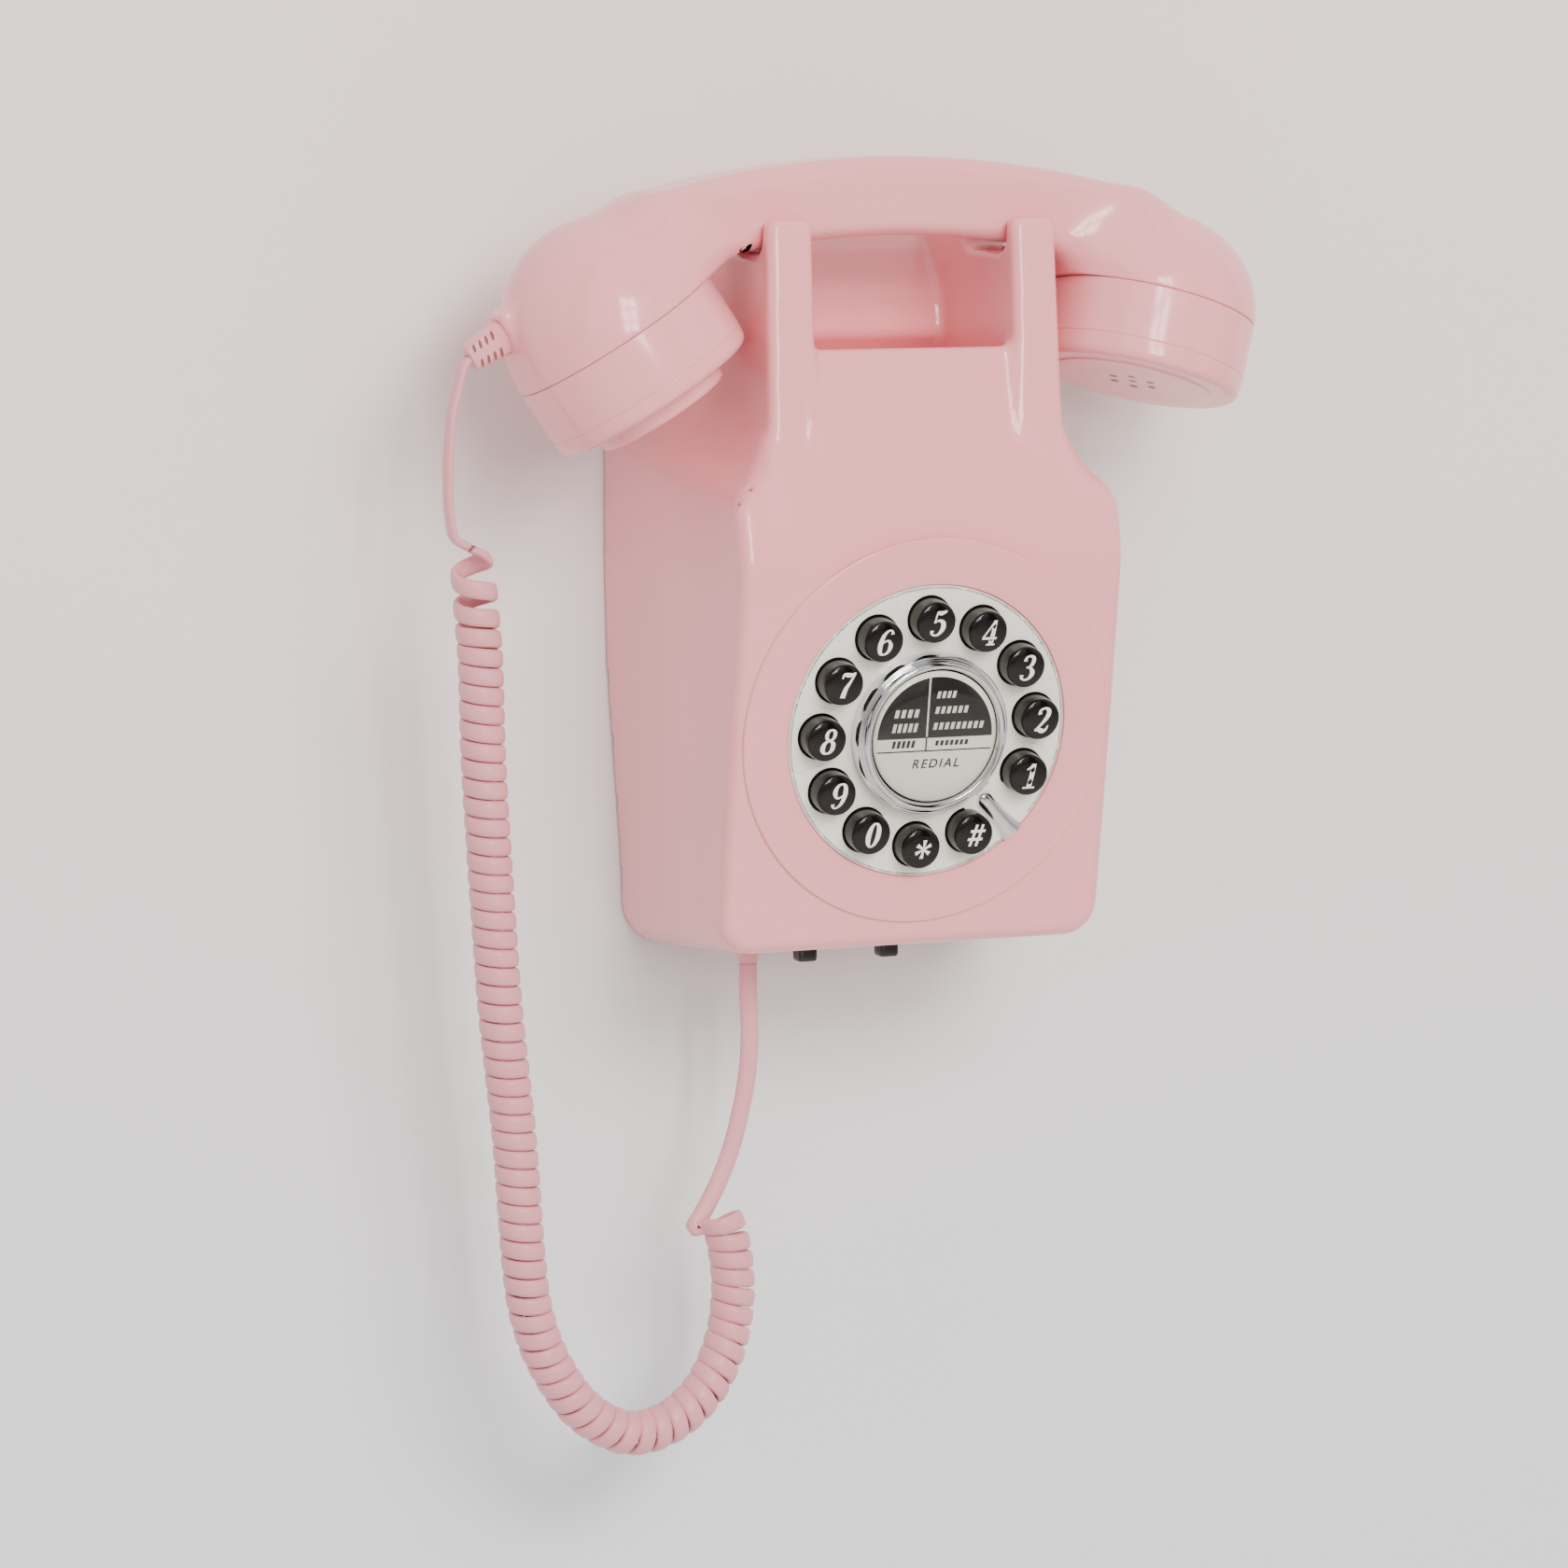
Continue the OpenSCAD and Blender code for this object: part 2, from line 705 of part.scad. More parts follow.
base_plate();
front_case();
cradle_left();
cradle_right();
pocket_front();
pocket_back();
dial_bezel();
dial_plate();
chrome_ring();
finger_stop();
keypad_membrane();
keypad_board();
board_screws();
main_board();
hook_switch();
ringer_speaker();
line_terminals();
volume_switch();
tone_switch();
case_screws();
cord_gland();
volume_knob();
tone_knob();
hook_plunger();
hook_spring();
key(0);  // key_1
key(1);  // key_2
key(2);  // key_3
key(3);  // key_4
key(4);  // key_5
key(5);  // key_6
key(6);  // key_7
key(7);  // key_8
key(8);  // key_9
key(9);  // key_0
key(10);  // key_star
key(11);  // key_hash
redial_cap();
label_card();
redial_lens();
handset_shell();
mouthpiece_cap();
earpiece_cap();
microphone();
receiver();
handset_weight();
strain_relief();
cord_lead();
cord_coil();
cord_tail();
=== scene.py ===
"""A wall telephone with a push-button dial: its looks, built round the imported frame.

All sizes in the classes are in millimetres, in the frame's own axes: the wall is the plane
y = 0, the telephone stands out along -Y, +Z is up and z = 0 is the dial's centre.
Meshes are turned to metres when they are made.
"""

import sys
import logging
import math
from dataclasses import dataclass, field
from enum import Enum
from typing import Callable, Optional, Sequence

import bmesh
import bpy
import numpy as np
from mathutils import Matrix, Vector


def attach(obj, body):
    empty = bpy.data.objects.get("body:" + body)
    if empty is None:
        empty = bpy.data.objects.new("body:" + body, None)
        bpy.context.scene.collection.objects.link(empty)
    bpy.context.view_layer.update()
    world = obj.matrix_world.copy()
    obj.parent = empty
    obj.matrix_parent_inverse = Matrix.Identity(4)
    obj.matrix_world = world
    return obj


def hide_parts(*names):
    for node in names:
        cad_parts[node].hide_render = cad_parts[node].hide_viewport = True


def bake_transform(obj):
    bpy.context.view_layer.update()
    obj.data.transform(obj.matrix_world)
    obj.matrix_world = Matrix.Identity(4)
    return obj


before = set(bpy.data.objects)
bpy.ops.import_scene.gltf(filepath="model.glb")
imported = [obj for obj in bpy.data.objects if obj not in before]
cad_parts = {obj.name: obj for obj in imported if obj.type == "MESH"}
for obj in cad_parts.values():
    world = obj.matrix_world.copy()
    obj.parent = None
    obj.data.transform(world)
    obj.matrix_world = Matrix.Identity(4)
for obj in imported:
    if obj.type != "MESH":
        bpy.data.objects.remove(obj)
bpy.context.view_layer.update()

LOG = logging.getLogger("telephone")
MM = 0.001

Array = np.ndarray
Distance = Callable[[Array, Array, Array], Array]


# ----------------------------------------------------------------------------------------
# Small tools: colours, nodes, meshes
# ----------------------------------------------------------------------------------------


def srgb(code: str) -> tuple[float, float, float, float]:
    """Turns an sRGB hex colour into linear red, green and blue, and an alpha of 1.

    Args:
        code: The colour, such as "#e2bcbc".

    Returns:
        The four values that a shader socket takes.
    """
    parts = [int(code[i : i + 2], 16) / 255 for i in (1, 3, 5)]
    linear = [c / 12.92 if c <= 0.04045 else ((c + 0.055) / 1.055) ** 2.4 for c in parts]
    return (linear[0], linear[1], linear[2], 1.0)


def add_node(
    tree: bpy.types.NodeTree,
    kind: str,
    settings: Optional[dict] = None,
    links: Optional[dict] = None,
) -> bpy.types.Node:
    """Adds one shader node with its settings and its incoming links.

    Args:
        tree: The material's node tree.
        kind: The node's type name.
        settings: Attribute names, or socket names, and their values.
        links: Socket names, and the output sockets that feed them.

    Returns:
        The new node.
    """
    node = tree.nodes.new(kind)
    for name, value in (settings or {}).items():
        if name in node.inputs:
            node.inputs[name].default_value = value
        else:
            setattr(node, name, value)
    for name, source in (links or {}).items():
        tree.links.new(source, node.inputs[name])
    return node


def empty_material(name: str) -> bpy.types.Material:
    """Makes a material whose node tree is empty.

    Args:
        name: The material's name.

    Returns:
        The material.
    """
    material = bpy.data.materials.new(name)
    material.use_nodes = True
    material.node_tree.nodes.clear()
    return material


def make_piece(
    name: str,
    points: Array,
    faces: Sequence[Sequence[int]],
    material: bpy.types.Material,
    smooth: bool = True,
    merge: float = 0.0,
    extra: Sequence[tuple[Array, Sequence[Sequence[int]], bpy.types.Material]] = (),
) -> bpy.types.Object:
    """Makes an object from points in millimetres.

    Args:
        name: The piece's name.
        points: An array of n points.
        faces: The faces, as lists or as an array of point numbers.
        material: The piece's finish.
        smooth: Whether its faces are shaded as one surface.
        merge: The distance in millimetres within which points are joined; none if it is 0.
        extra: Further points, faces and finish, such as the printing on the piece.

    Returns:
        The new object, at the origin.
    """
    mesh = bpy.data.meshes.new(name)
    lists = [(np.asarray(points, float), faces, material), *extra]
    all_points, all_faces, numbers = [], [], []
    for k, (some, some_faces, _) in enumerate(lists):
        start = sum(len(p) for p in all_points)
        all_points.append(np.asarray(some, float))
        all_faces += [[int(v) + start for v in face] for face in some_faces]
        numbers += [k] * len(some_faces)
        mesh.materials.append(lists[k][2])
    mesh.from_pydata((np.vstack(all_points) * MM).tolist(), [], all_faces)
    mesh.polygons.foreach_set("material_index", numbers)
    if merge:
        work = bmesh.new()
        work.from_mesh(mesh)
        bmesh.ops.remove_doubles(work, verts=work.verts, dist=merge * MM)
        bmesh.ops.recalc_face_normals(work, faces=work.faces)
        work.to_mesh(mesh)
        work.free()
    mesh.polygons.foreach_set("use_smooth", [smooth] * len(mesh.polygons))
    mesh.update()
    piece = bpy.data.objects.new(name, mesh)
    bpy.context.scene.collection.objects.link(piece)
    return piece


def face_towards(piece: bpy.types.Object, way: tuple[float, float, float]) -> None:
    """Turns over each face of an open sheet that points away from a direction.

    Args:
        piece: The sheet.
        way: The direction, in the frame.
    """
    work = bmesh.new()
    work.from_mesh(piece.data)
    work.normal_update()
    wrong = [f for f in work.faces if f.normal.dot(Vector(way)) < -1e-4]
    bmesh.ops.reverse_faces(work, faces=wrong)
    work.to_mesh(piece.data)
    work.free()


def settle_in(piece: bpy.types.Object, body: str, slot: str, *nodes: str) -> bpy.types.Object:
    """Ties a piece to its body and hides the nodes that it stands for.

    Args:
        piece: The piece.
        body: The body that it rides on.
        slot: Not used.
        nodes: The frame's nodes that it stands for.

    Returns:
        The piece.
    """
    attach(piece, body)
    if nodes:
        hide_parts(*nodes)
    LOG.info("%s: on body %s, %d faces", piece.name, body, len(piece.data.polygons))
    return piece


def grid_faces(rows: int, columns: int, around: bool = False) -> Array:
    """The quads of a grid of points.

    Args:
        rows: The number of rows.
        columns: The number of points in a row.
        around: Whether each row closes on itself.

    Returns:
        An array of quads.
    """
    i, j = np.meshgrid(np.arange(rows - 1), np.arange(columns if around else columns - 1),
                       indexing="ij")
    k = (j + 1) % columns
    quads = np.stack([i * columns + j, i * columns + k, (i + 1) * columns + k,
                      (i + 1) * columns + j], axis=-1)
    return quads.reshape(-1, 4)


def rounded(points: Sequence[Sequence[float]], radii: Sequence[float], steps: int = 5) -> Array:
    """An open outline whose inner corners are arcs.

    Each corner is replaced by the arc of its radius that touches both of its sides.

    Args:
        points: The corners.
        radii: A radius for each corner; 0 keeps the corner, as the two ends do.
        steps: The number of pieces in each arc.

    Returns:
        The outline's points.
    """
    p = np.asarray(points, float)
    made = [p[0]]
    for i in range(1, len(p) - 1):
        a, b = p[i - 1] - p[i], p[i + 1] - p[i]
        la, lb = np.linalg.norm(a), np.linalg.norm(b)
        a, b = a / la, b / lb
        turn = math.acos(float(np.clip(a @ b, -1, 1)))
        r = radii[i]
        if r <= 0 or turn > math.pi - 1e-3:
            made.append(p[i])
            continue
        back = min(r / math.tan(turn / 2), 0.49 * la, 0.49 * lb)
        r = back * math.tan(turn / 2)
        centre = p[i] + (a + b) / np.linalg.norm(a + b) * (r / math.sin(turn / 2))
        start, end = p[i] + a * back - centre, p[i] + b * back - centre
        swing = math.pi - turn
        for s in range(steps + 1):
            t = s / steps
            made.append(centre + (start * math.sin((1 - t) * swing)
                                  + end * math.sin(t * swing)) / math.sin(swing))
    made.append(p[-1])
    return np.array(made)


def revolve(profile: Array, around: int) -> tuple[Array, Array]:
    """A surface of revolution about the local Z axis.

    Point (r, z) of the profile at turn a lies at (r cos a, r sin a, z).

    Args:
        profile: Rows of r and z.
        around: The number of points in each ring.

    Returns:
        The points and the quads.
    """
    a = np.linspace(0, 2 * math.pi, around, endpoint=False)
    r, z = profile[:, :1], profile[:, 1:]
    points = np.stack([r * np.cos(a), r * np.sin(a), z + 0 * a], axis=-1)
    return points.reshape(-1, 3), grid_faces(len(profile), around, around=True)


def sample(rows: Array, index: Array, at: Array) -> Array:
    """Reads rows of three values at places between their own.

    Args:
        rows: The rows.
        index: The place of each row.
        at: The places to read.

    Returns:
        A row for each place.
    """
    return np.stack([np.interp(at, index, rows[:, k]) for k in range(3)], axis=1)


def distance_along(line: Array) -> Array:
    """How far along a line each of its points lies."""
    return np.r_[0, np.cumsum(np.linalg.norm(np.diff(line, axis=0), axis=1))]


def smooth_route(route: Sequence[Sequence[float]], step: float) -> Array:
    """The smooth curve through given points, with points at an even spacing.

    It is the Catmull-Rom curve, sampled finely and then spaced out evenly along its length.

    Args:
        route: The points that the curve passes through.
        step: The spacing in millimetres.

    Returns:
        The curve's points.
    """
    p = np.asarray(route, float)
    p = np.vstack([p[0], p, p[-1]])
    t = np.linspace(0, 1, 40, endpoint=False)[:, None]
    spans = []
    for a, b, c, d in zip(p[:-3], p[1:-2], p[2:-1], p[3:]):
        spans.append(0.5 * (2 * b + (c - a) * t + (2 * a - 5 * b + 4 * c - d) * t**2
                            + (3 * b - a - 3 * c + d) * t**3))
    line = np.vstack(spans + [p[-1:]])
    along = distance_along(line)
    at = np.linspace(0, along[-1], max(2, int(round(along[-1] / step)) + 1))
    return sample(line, along, at)


def squarish(count: int, power: float) -> tuple[Array, Array]:
    """An oval that reaches 1 each way; a power under 1 makes it squarer.

    Point b of it is sign(cos b) |cos b|^power, and the same of sin b.

    Args:
        count: The number of points.
        power: The power.

    Returns:
        The points' first and second coordinates.
    """
    b = np.linspace(0, 2 * math.pi, count, endpoint=False)
    first, second = (np.sign(v) * np.abs(v) ** power for v in (np.cos(b), np.sin(b)))
    return first, second


def unit(v: Array) -> Array:
    """The vectors v, each with length 1."""
    return v / np.maximum(np.linalg.norm(v, axis=-1, keepdims=True), 1e-9)


# ----------------------------------------------------------------------------------------
# Mouldings whose walls blend into each other
# ----------------------------------------------------------------------------------------


def round_max(a: Array, b: Array, r: float) -> Array:
    """Distance to what is inside both shapes, with their shared edge rounded to radius r.

    Args:
        a: Distances to the first shape.
        b: Distances to the second.
        r: The radius.

    Returns:
        The distances, which are true near the edge.
    """
    over = np.hypot(np.maximum(a + r, 0), np.maximum(b + r, 0))
    return np.minimum(np.maximum(a, b), -r) + over


def round_min(a: Array, b: Array, r: float) -> Array:
    """Distance to what is inside either shape, with a fillet of radius r between them.

    Args:
        a: Distances to the first shape.
        b: Distances to the second.
        r: The radius.

    Returns:
        The distances, which are true near the fillet.
    """
    under = np.hypot(np.maximum(r - a, 0), np.maximum(r - b, 0))
    return np.maximum(np.minimum(a, b), r) - under


def box_distance(p: Sequence[Array], low: Sequence[float], high: Sequence[float]) -> Array:
    """Distance to a box, negative inside it.

    Args:
        p: The coordinates: x, y and z.
        low: The lowest corner.
        high: The highest corner.

    Returns:
        The distances.
    """
    d = [np.abs(v - (a + b) / 2) - (b - a) / 2 for v, a, b in zip(p, low, high)]
    return np.maximum(np.maximum(d[0], d[1]), d[2])


def outline_distance(u: Array, v: Array, outline: Array) -> Array:
    """Distance in a plane to a closed outline, negative inside it.

    It is the least distance to any of the outline's sides; its sign comes from how often a
    line to the right of the point crosses the outline.

    Args:
        u: First coordinates.
        v: Second coordinates.
        outline: The corners, in order.

    Returns:
        The distances.
    """
    best = np.full(np.broadcast(u, v).shape, 1e9)
    odd = np.zeros(best.shape, bool)
    for (ax, ay), (bx, by) in zip(outline, np.roll(outline, -1, axis=0)):
        ex, ey = bx - ax, by - ay
        t = np.clip(((u - ax) * ex + (v - ay) * ey) / max(ex * ex + ey * ey, 1e-9), 0, 1)
        best = np.minimum(best, np.hypot(u - ax - t * ex, v - ay - t * ey))
        crosses = (ay > v) != (by > v)
        odd ^= crosses & (u < ax + (v - ay) / (ey if abs(ey) > 1e-9 else 1e-9) * ex)
    return np.where(odd, -best, best)


def level_surface(
    distance: Distance, low: Sequence[float], high: Sequence[float], cell: float
) -> tuple[Array, Array]:
    """The surface where a distance function is 0.

    Space is cut into cubes. Each cube that the surface passes through gets one point, at the
    mean of where the surface cuts its edges, and each cut edge gets a quad from the four
    cubes round it. The points are then moved along the function's slope until they lie on
    the surface, so flat faces stay flat and rounded edges keep their radius.

    Args:
        distance: The function of x, y and z, in millimetres.
        low: The lowest corner of the space.
        high: The highest corner.
        cell: The cubes' size.

    Returns:
        The points and the quads, which face outwards.
    """
    axes = [np.arange(a, b + cell, cell) for a, b in zip(low, high)]
    shape = tuple(len(a) for a in axes)
    x, y, z = np.meshgrid(*axes, indexing="ij", sparse=True)
    d = np.broadcast_to(distance(x, y, z), shape)
    cells = tuple(n - 1 for n in shape)
    total = np.zeros(cells + (3,))
    count = np.zeros(cells)
    cuts = []
    for axis in range(3):
        lower = [slice(None)] * 3
        upper = [slice(None)] * 3
        lower[axis], upper[axis] = slice(0, -1), slice(1, None)
        a, b = d[tuple(lower)], d[tuple(upper)]
        cut = (a < 0) != (b < 0)
        t = np.where(cut, a / np.where(cut, a - b, 1), 0)
        cuts.append((cut, a < 0))
        others = [k for k in range(3) if k != axis]
        for i in (0, 1):
            for j in (0, 1):
                part = [slice(None)] * 3
                part[others[0]] = slice(i, i + cells[others[0]])
                part[others[1]] = slice(j, j + cells[others[1]])
                hit = cut[tuple(part)]
                count += hit
                total[..., axis] += hit * t[tuple(part)]
                total[..., others[0]] += hit * i
                total[..., others[1]] += hit * j
    used = count > 0
    number = np.full(cells, -1)
    number[used] = np.arange(int(used.sum()))
    origin = np.array([a[0] for a in axes])
    points = (np.argwhere(used) + total[used] / count[used][:, None]) * cell + origin
    quads = []
    for axis, (cut, start_inside) in enumerate(cuts):
        others = [k for k in range(3) if k != axis]
        inner = [slice(None)] * 3
        inner[others[0]], inner[others[1]] = slice(1, -1), slice(1, -1)
        where = np.argwhere(cut[tuple(inner)])
        where[:, others[0]] += 1
        where[:, others[1]] += 1
        flip = start_inside[tuple(where.T)]
        if axis == 1:
            flip = ~flip
        ring = []
        for i, j in ((1, 1), (0, 1), (0, 0), (1, 0)):
            at = where.copy()
            at[:, others[0]] -= i
            at[:, others[1]] -= j
            ring.append(number[tuple(at.T)])
        ring = np.stack(ring, axis=1)
        quads.append(np.where(flip[:, None], ring, ring[:, ::-1]))
    return settle(points, distance, cell), np.vstack(quads)


def settle(points: Array, distance: Distance, cell: float, rounds: int = 4) -> Array:
    """Moves points along a distance function's slope until they lie on its surface.

    Args:
        points: The points.
        distance: The function.
        cell: The size of the cubes that the points came from; no move is over half of it.
        rounds: How many times the points are moved.

    Returns:
        The moved points.
    """
    h = 0.02
    for _ in range(rounds):
        value = distance(*points.T)
        slope = np.stack([
            (distance(*(points + h * e).T) - distance(*(points - h * e).T)) / (2 * h)
            for e in np.eye(3)
        ], axis=1)
        step = value[:, None] * slope / np.maximum((slope**2).sum(1, keepdims=True), 0.2)
        length = np.linalg.norm(step, axis=1, keepdims=True)
        points = points - step * np.minimum(1, 0.5 * cell / np.maximum(length, 1e-9))
    return points


# ----------------------------------------------------------------------------------------
# Finishes
# ----------------------------------------------------------------------------------------


@dataclass(frozen=True)
class Plastic:
    """A moulded plastic: its colour drifts a little and its skin is slightly wavy."""

    name: str
    colour: str
    shade: str
    roughness: float
    coat: float = 0.0
    wave_mm: float = 14.0
    wave: float = 0.05
    grain_mm: float = 0.8
    grain: float = 0.0
    ior: float = 1.5
    drift_mm: float = 45.0
    smear_mm: float = 9.0

    def build(self) -> bpy.types.Material:
        """Makes the material.

        Returns:
            The material, with colour, roughness and bump worked out from Object coordinates.
        """
        material = empty_material(self.name)
        tree = material.node_tree
        place = add_node(tree, "ShaderNodeTexCoord")
        drift = add_node(tree, "ShaderNodeTexNoise",
                         {"Scale": 1 / (self.drift_mm * MM), "Detail": 2.0},
                         {"Vector": place.outputs["Object"]})
        tint = add_node(tree, "ShaderNodeMix",
                        {"data_type": "RGBA", "A": srgb(self.colour), "B": srgb(self.shade)},
                        {"Factor": drift.outputs["Fac"]})
        smear = add_node(tree, "ShaderNodeTexNoise",
                         {"Scale": 1 / (self.smear_mm * MM), "Detail": 4.0},
                         {"Vector": place.outputs["Object"]})
        polish = add_node(tree, "ShaderNodeMapRange",
                          {"To Min": self.roughness * 0.85, "To Max": self.roughness * 1.2},
                          {"Value": smear.outputs["Fac"]})
        waves = add_node(tree, "ShaderNodeTexNoise",
                         {"Scale": 1 / (self.wave_mm * MM), "Detail": 0.5},
                         {"Vector": place.outputs["Object"]})
        skin = add_node(tree, "ShaderNodeBump",
                        {"Strength": self.wave, "Distance": 0.4 * MM},
                        {"Height": waves.outputs["Fac"]})
        normal = skin.outputs["Normal"]
        if self.grain:
            grain = add_node(tree, "ShaderNodeTexNoise",
                             {"Scale": 1 / (self.grain_mm * MM), "Detail": 3.0},
                             {"Vector": place.outputs["Object"]})
            pits = add_node(tree, "ShaderNodeBump",
                            {"Strength": self.grain, "Distance": 0.1 * MM},
                            {"Height": grain.outputs["Fac"], "Normal": normal})
            normal = pits.outputs["Normal"]
        shader = add_node(tree, "ShaderNodeBsdfPrincipled",
                          {"IOR": self.ior, "Coat Weight": self.coat,
                           "Coat Roughness": 0.04},
                          {"Base Color": tint.outputs["Result"],
                           "Roughness": polish.outputs["Result"], "Normal": normal})
        add_node(tree, "ShaderNodeOutputMaterial", None, {"Surface": shader.outputs["BSDF"]})
        return material


@dataclass(frozen=True)
class Metal:
    """A plated or bare metal with fine polishing marks."""

    name: str
    colour: str
    roughness: float
    mark_mm: float = 1.5
    mark: float = 0.02

    def build(self) -> bpy.types.Material:
        """Makes the material.

        Returns:
            The material, with its polishing marks on Object coordinates.
        """
        material = empty_material(self.name)
        tree = material.node_tree
        place = add_node(tree, "ShaderNodeTexCoord")
        marks = add_node(tree, "ShaderNodeTexNoise",
                         {"Scale": 1 / (self.mark_mm * MM), "Detail": 3.0},
                         {"Vector": place.outputs["Object"]})
        polish = add_node(tree, "ShaderNodeMapRange",
                          {"To Min": self.roughness * 0.6, "To Max": self.roughness * 1.5},
                          {"Value": marks.outputs["Fac"]})
        skin = add_node(tree, "ShaderNodeBump",
                        {"Strength": self.mark, "Distance": 0.1 * MM},
                        {"Height": marks.outputs["Fac"]})
        shader = add_node(tree, "ShaderNodeBsdfPrincipled",
                          {"Base Color": srgb(self.colour), "Metallic": 1.0},
                          {"Roughness": polish.outputs["Result"],
                           "Normal": skin.outputs["Normal"]})
        add_node(tree, "ShaderNodeOutputMaterial", None, {"Surface": shader.outputs["BSDF"]})
        return material


@dataclass(frozen=True)
class Clear:
    """Clear moulded acrylic."""

    name: str
    colour: str
    roughness: float

    def build(self) -> bpy.types.Material:
        """Makes the material.

        Returns:
            The material: light passes straight in and out, and the skin shines.
        """
        material = empty_material(self.name)
        tree = material.node_tree
        place = add_node(tree, "ShaderNodeTexCoord")
        smear = add_node(tree, "ShaderNodeTexNoise", {"Scale": 1 / (6 * MM), "Detail": 3.0},
                         {"Vector": place.outputs["Object"]})
        polish = add_node(tree, "ShaderNodeMapRange",
                          {"To Min": self.roughness * 0.5, "To Max": self.roughness * 2},
                          {"Value": smear.outputs["Fac"]})
        skin = add_node(tree, "ShaderNodeBsdfGlossy", {"Color": srgb(self.colour)},
                        {"Roughness": polish.outputs["Result"]})
        through = add_node(tree, "ShaderNodeBsdfTransparent", {"Color": srgb(self.colour)})
        edge = add_node(tree, "ShaderNodeFresnel", {"IOR": 1.49})
        shader = add_node(tree, "ShaderNodeMixShader", None,
                          {0: edge.outputs["Fac"], 1: through.outputs["BSDF"],
                           2: skin.outputs["BSDF"]})
        add_node(tree, "ShaderNodeOutputMaterial", None, {"Surface": shader.outputs["Shader"]})
        return material


class Finish(Enum):
    """The telephone's finishes, each named for the real material, apart from the painted shade of
    the slots.
    """

    # Gloss ABS straight from a polished mould: clear reflections with a faint waviness.
    CASE = Plastic("gloss_abs_pink", "#f09da3", "#ee999f", 0.15, coat=0.2, wave=0.05)
    # Flexible PVC: satin, a little greyer than the case.
    CORD = Plastic("satin_pvc_pink", "#dd979f", "#d89099", 0.36, wave_mm=5, wave=0.04)
    # The same PVC as a stiff sleeve.
    RELIEF = Plastic("sleeve_pvc_pink", "#e39a9f", "#de949a", 0.33, wave_mm=5, wave=0.04)
    # Printed ABS sheet, off-white.
    DISC = Plastic("gloss_abs_cream", "#eae9df", "#e6e5da", 0.16, coat=0.2, wave=0.03)
    # Black ABS keys with a polished crown; also the flat discs of painted shade in the caps' holes.
    KEY = Plastic("gloss_abs_black", "#0b0a0a", "#0f0d0d", 0.09, ior=1.42, wave=0.02)
    # White pad-printing ink.
    INK_WHITE = Plastic("printing_ink_white", "#ecebe6", "#e6e4de", 0.35, wave=0.02)
    # Black printing ink.
    INK_BLACK = Plastic("printing_ink_black", "#0d0d0e", "#111112", 0.4, wave=0.02)
    # Uncoated printed card under the lens.
    CARD = Plastic("printed_card_cream", "#f3f3ea", "#efefe5", 0.55, wave=0.02)
    # Painted shade: a dark pink that stands for the shadowed bottom of a slot.
    SHADE = Plastic("slot_shadow_pink", "#8a4a4e", "#834549", 0.6, wave=0.02)
    # Moulded ABS with a spark-eroded grain, for the back.
    BASE = Plastic("textured_abs_black", "#232224", "#29282a", 0.5, grain=0.35, grain_mm=0.7)
    # Satin black ABS for the slide knobs.
    KNOB = Plastic("satin_abs_black", "#1a1a1b", "#202021", 0.3, grain=0.1)
    # Silicone rubber keypad mat.
    RUBBER = Plastic("silicone_rubber_grey", "#7c7f82", "#74777a", 0.6, grain=0.2)
    # Glass-fibre laminate with solder mask.
    BOARD = Plastic("solder_mask_green", "#2f5d3c", "#2a5537", 0.35, grain=0.15, grain_mm=1.2)
    # Moulded nylon for switch and socket bodies.
    NYLON = Plastic("moulded_nylon_black", "#222223", "#282829", 0.45, grain=0.1)
    # Bright chrome plate over ABS.
    CHROME = Metal("bright_chrome_plate", "#dcdcdf", 0.05)
    # Zinc-plated steel for screws, spring and weight.
    STEEL = Metal("zinc_plated_steel", "#a9abae", 0.28, mark=0.08)
    # Clear acrylic lens.
    LENS = Clear("clear_acrylic", "#fdfdfb", 0.03)


_MADE: dict[Finish, bpy.types.Material] = {}


def finish(kind: Finish) -> bpy.types.Material:
    """The material of a finish, made the first time that it is asked for.

    Args:
        kind: The finish.

    Returns:
        Its material.
    """
    if kind not in _MADE:
        _MADE[kind] = kind.value.build()
    return _MADE[kind]


# ----------------------------------------------------------------------------------------
# The view and the room
# ----------------------------------------------------------------------------------------


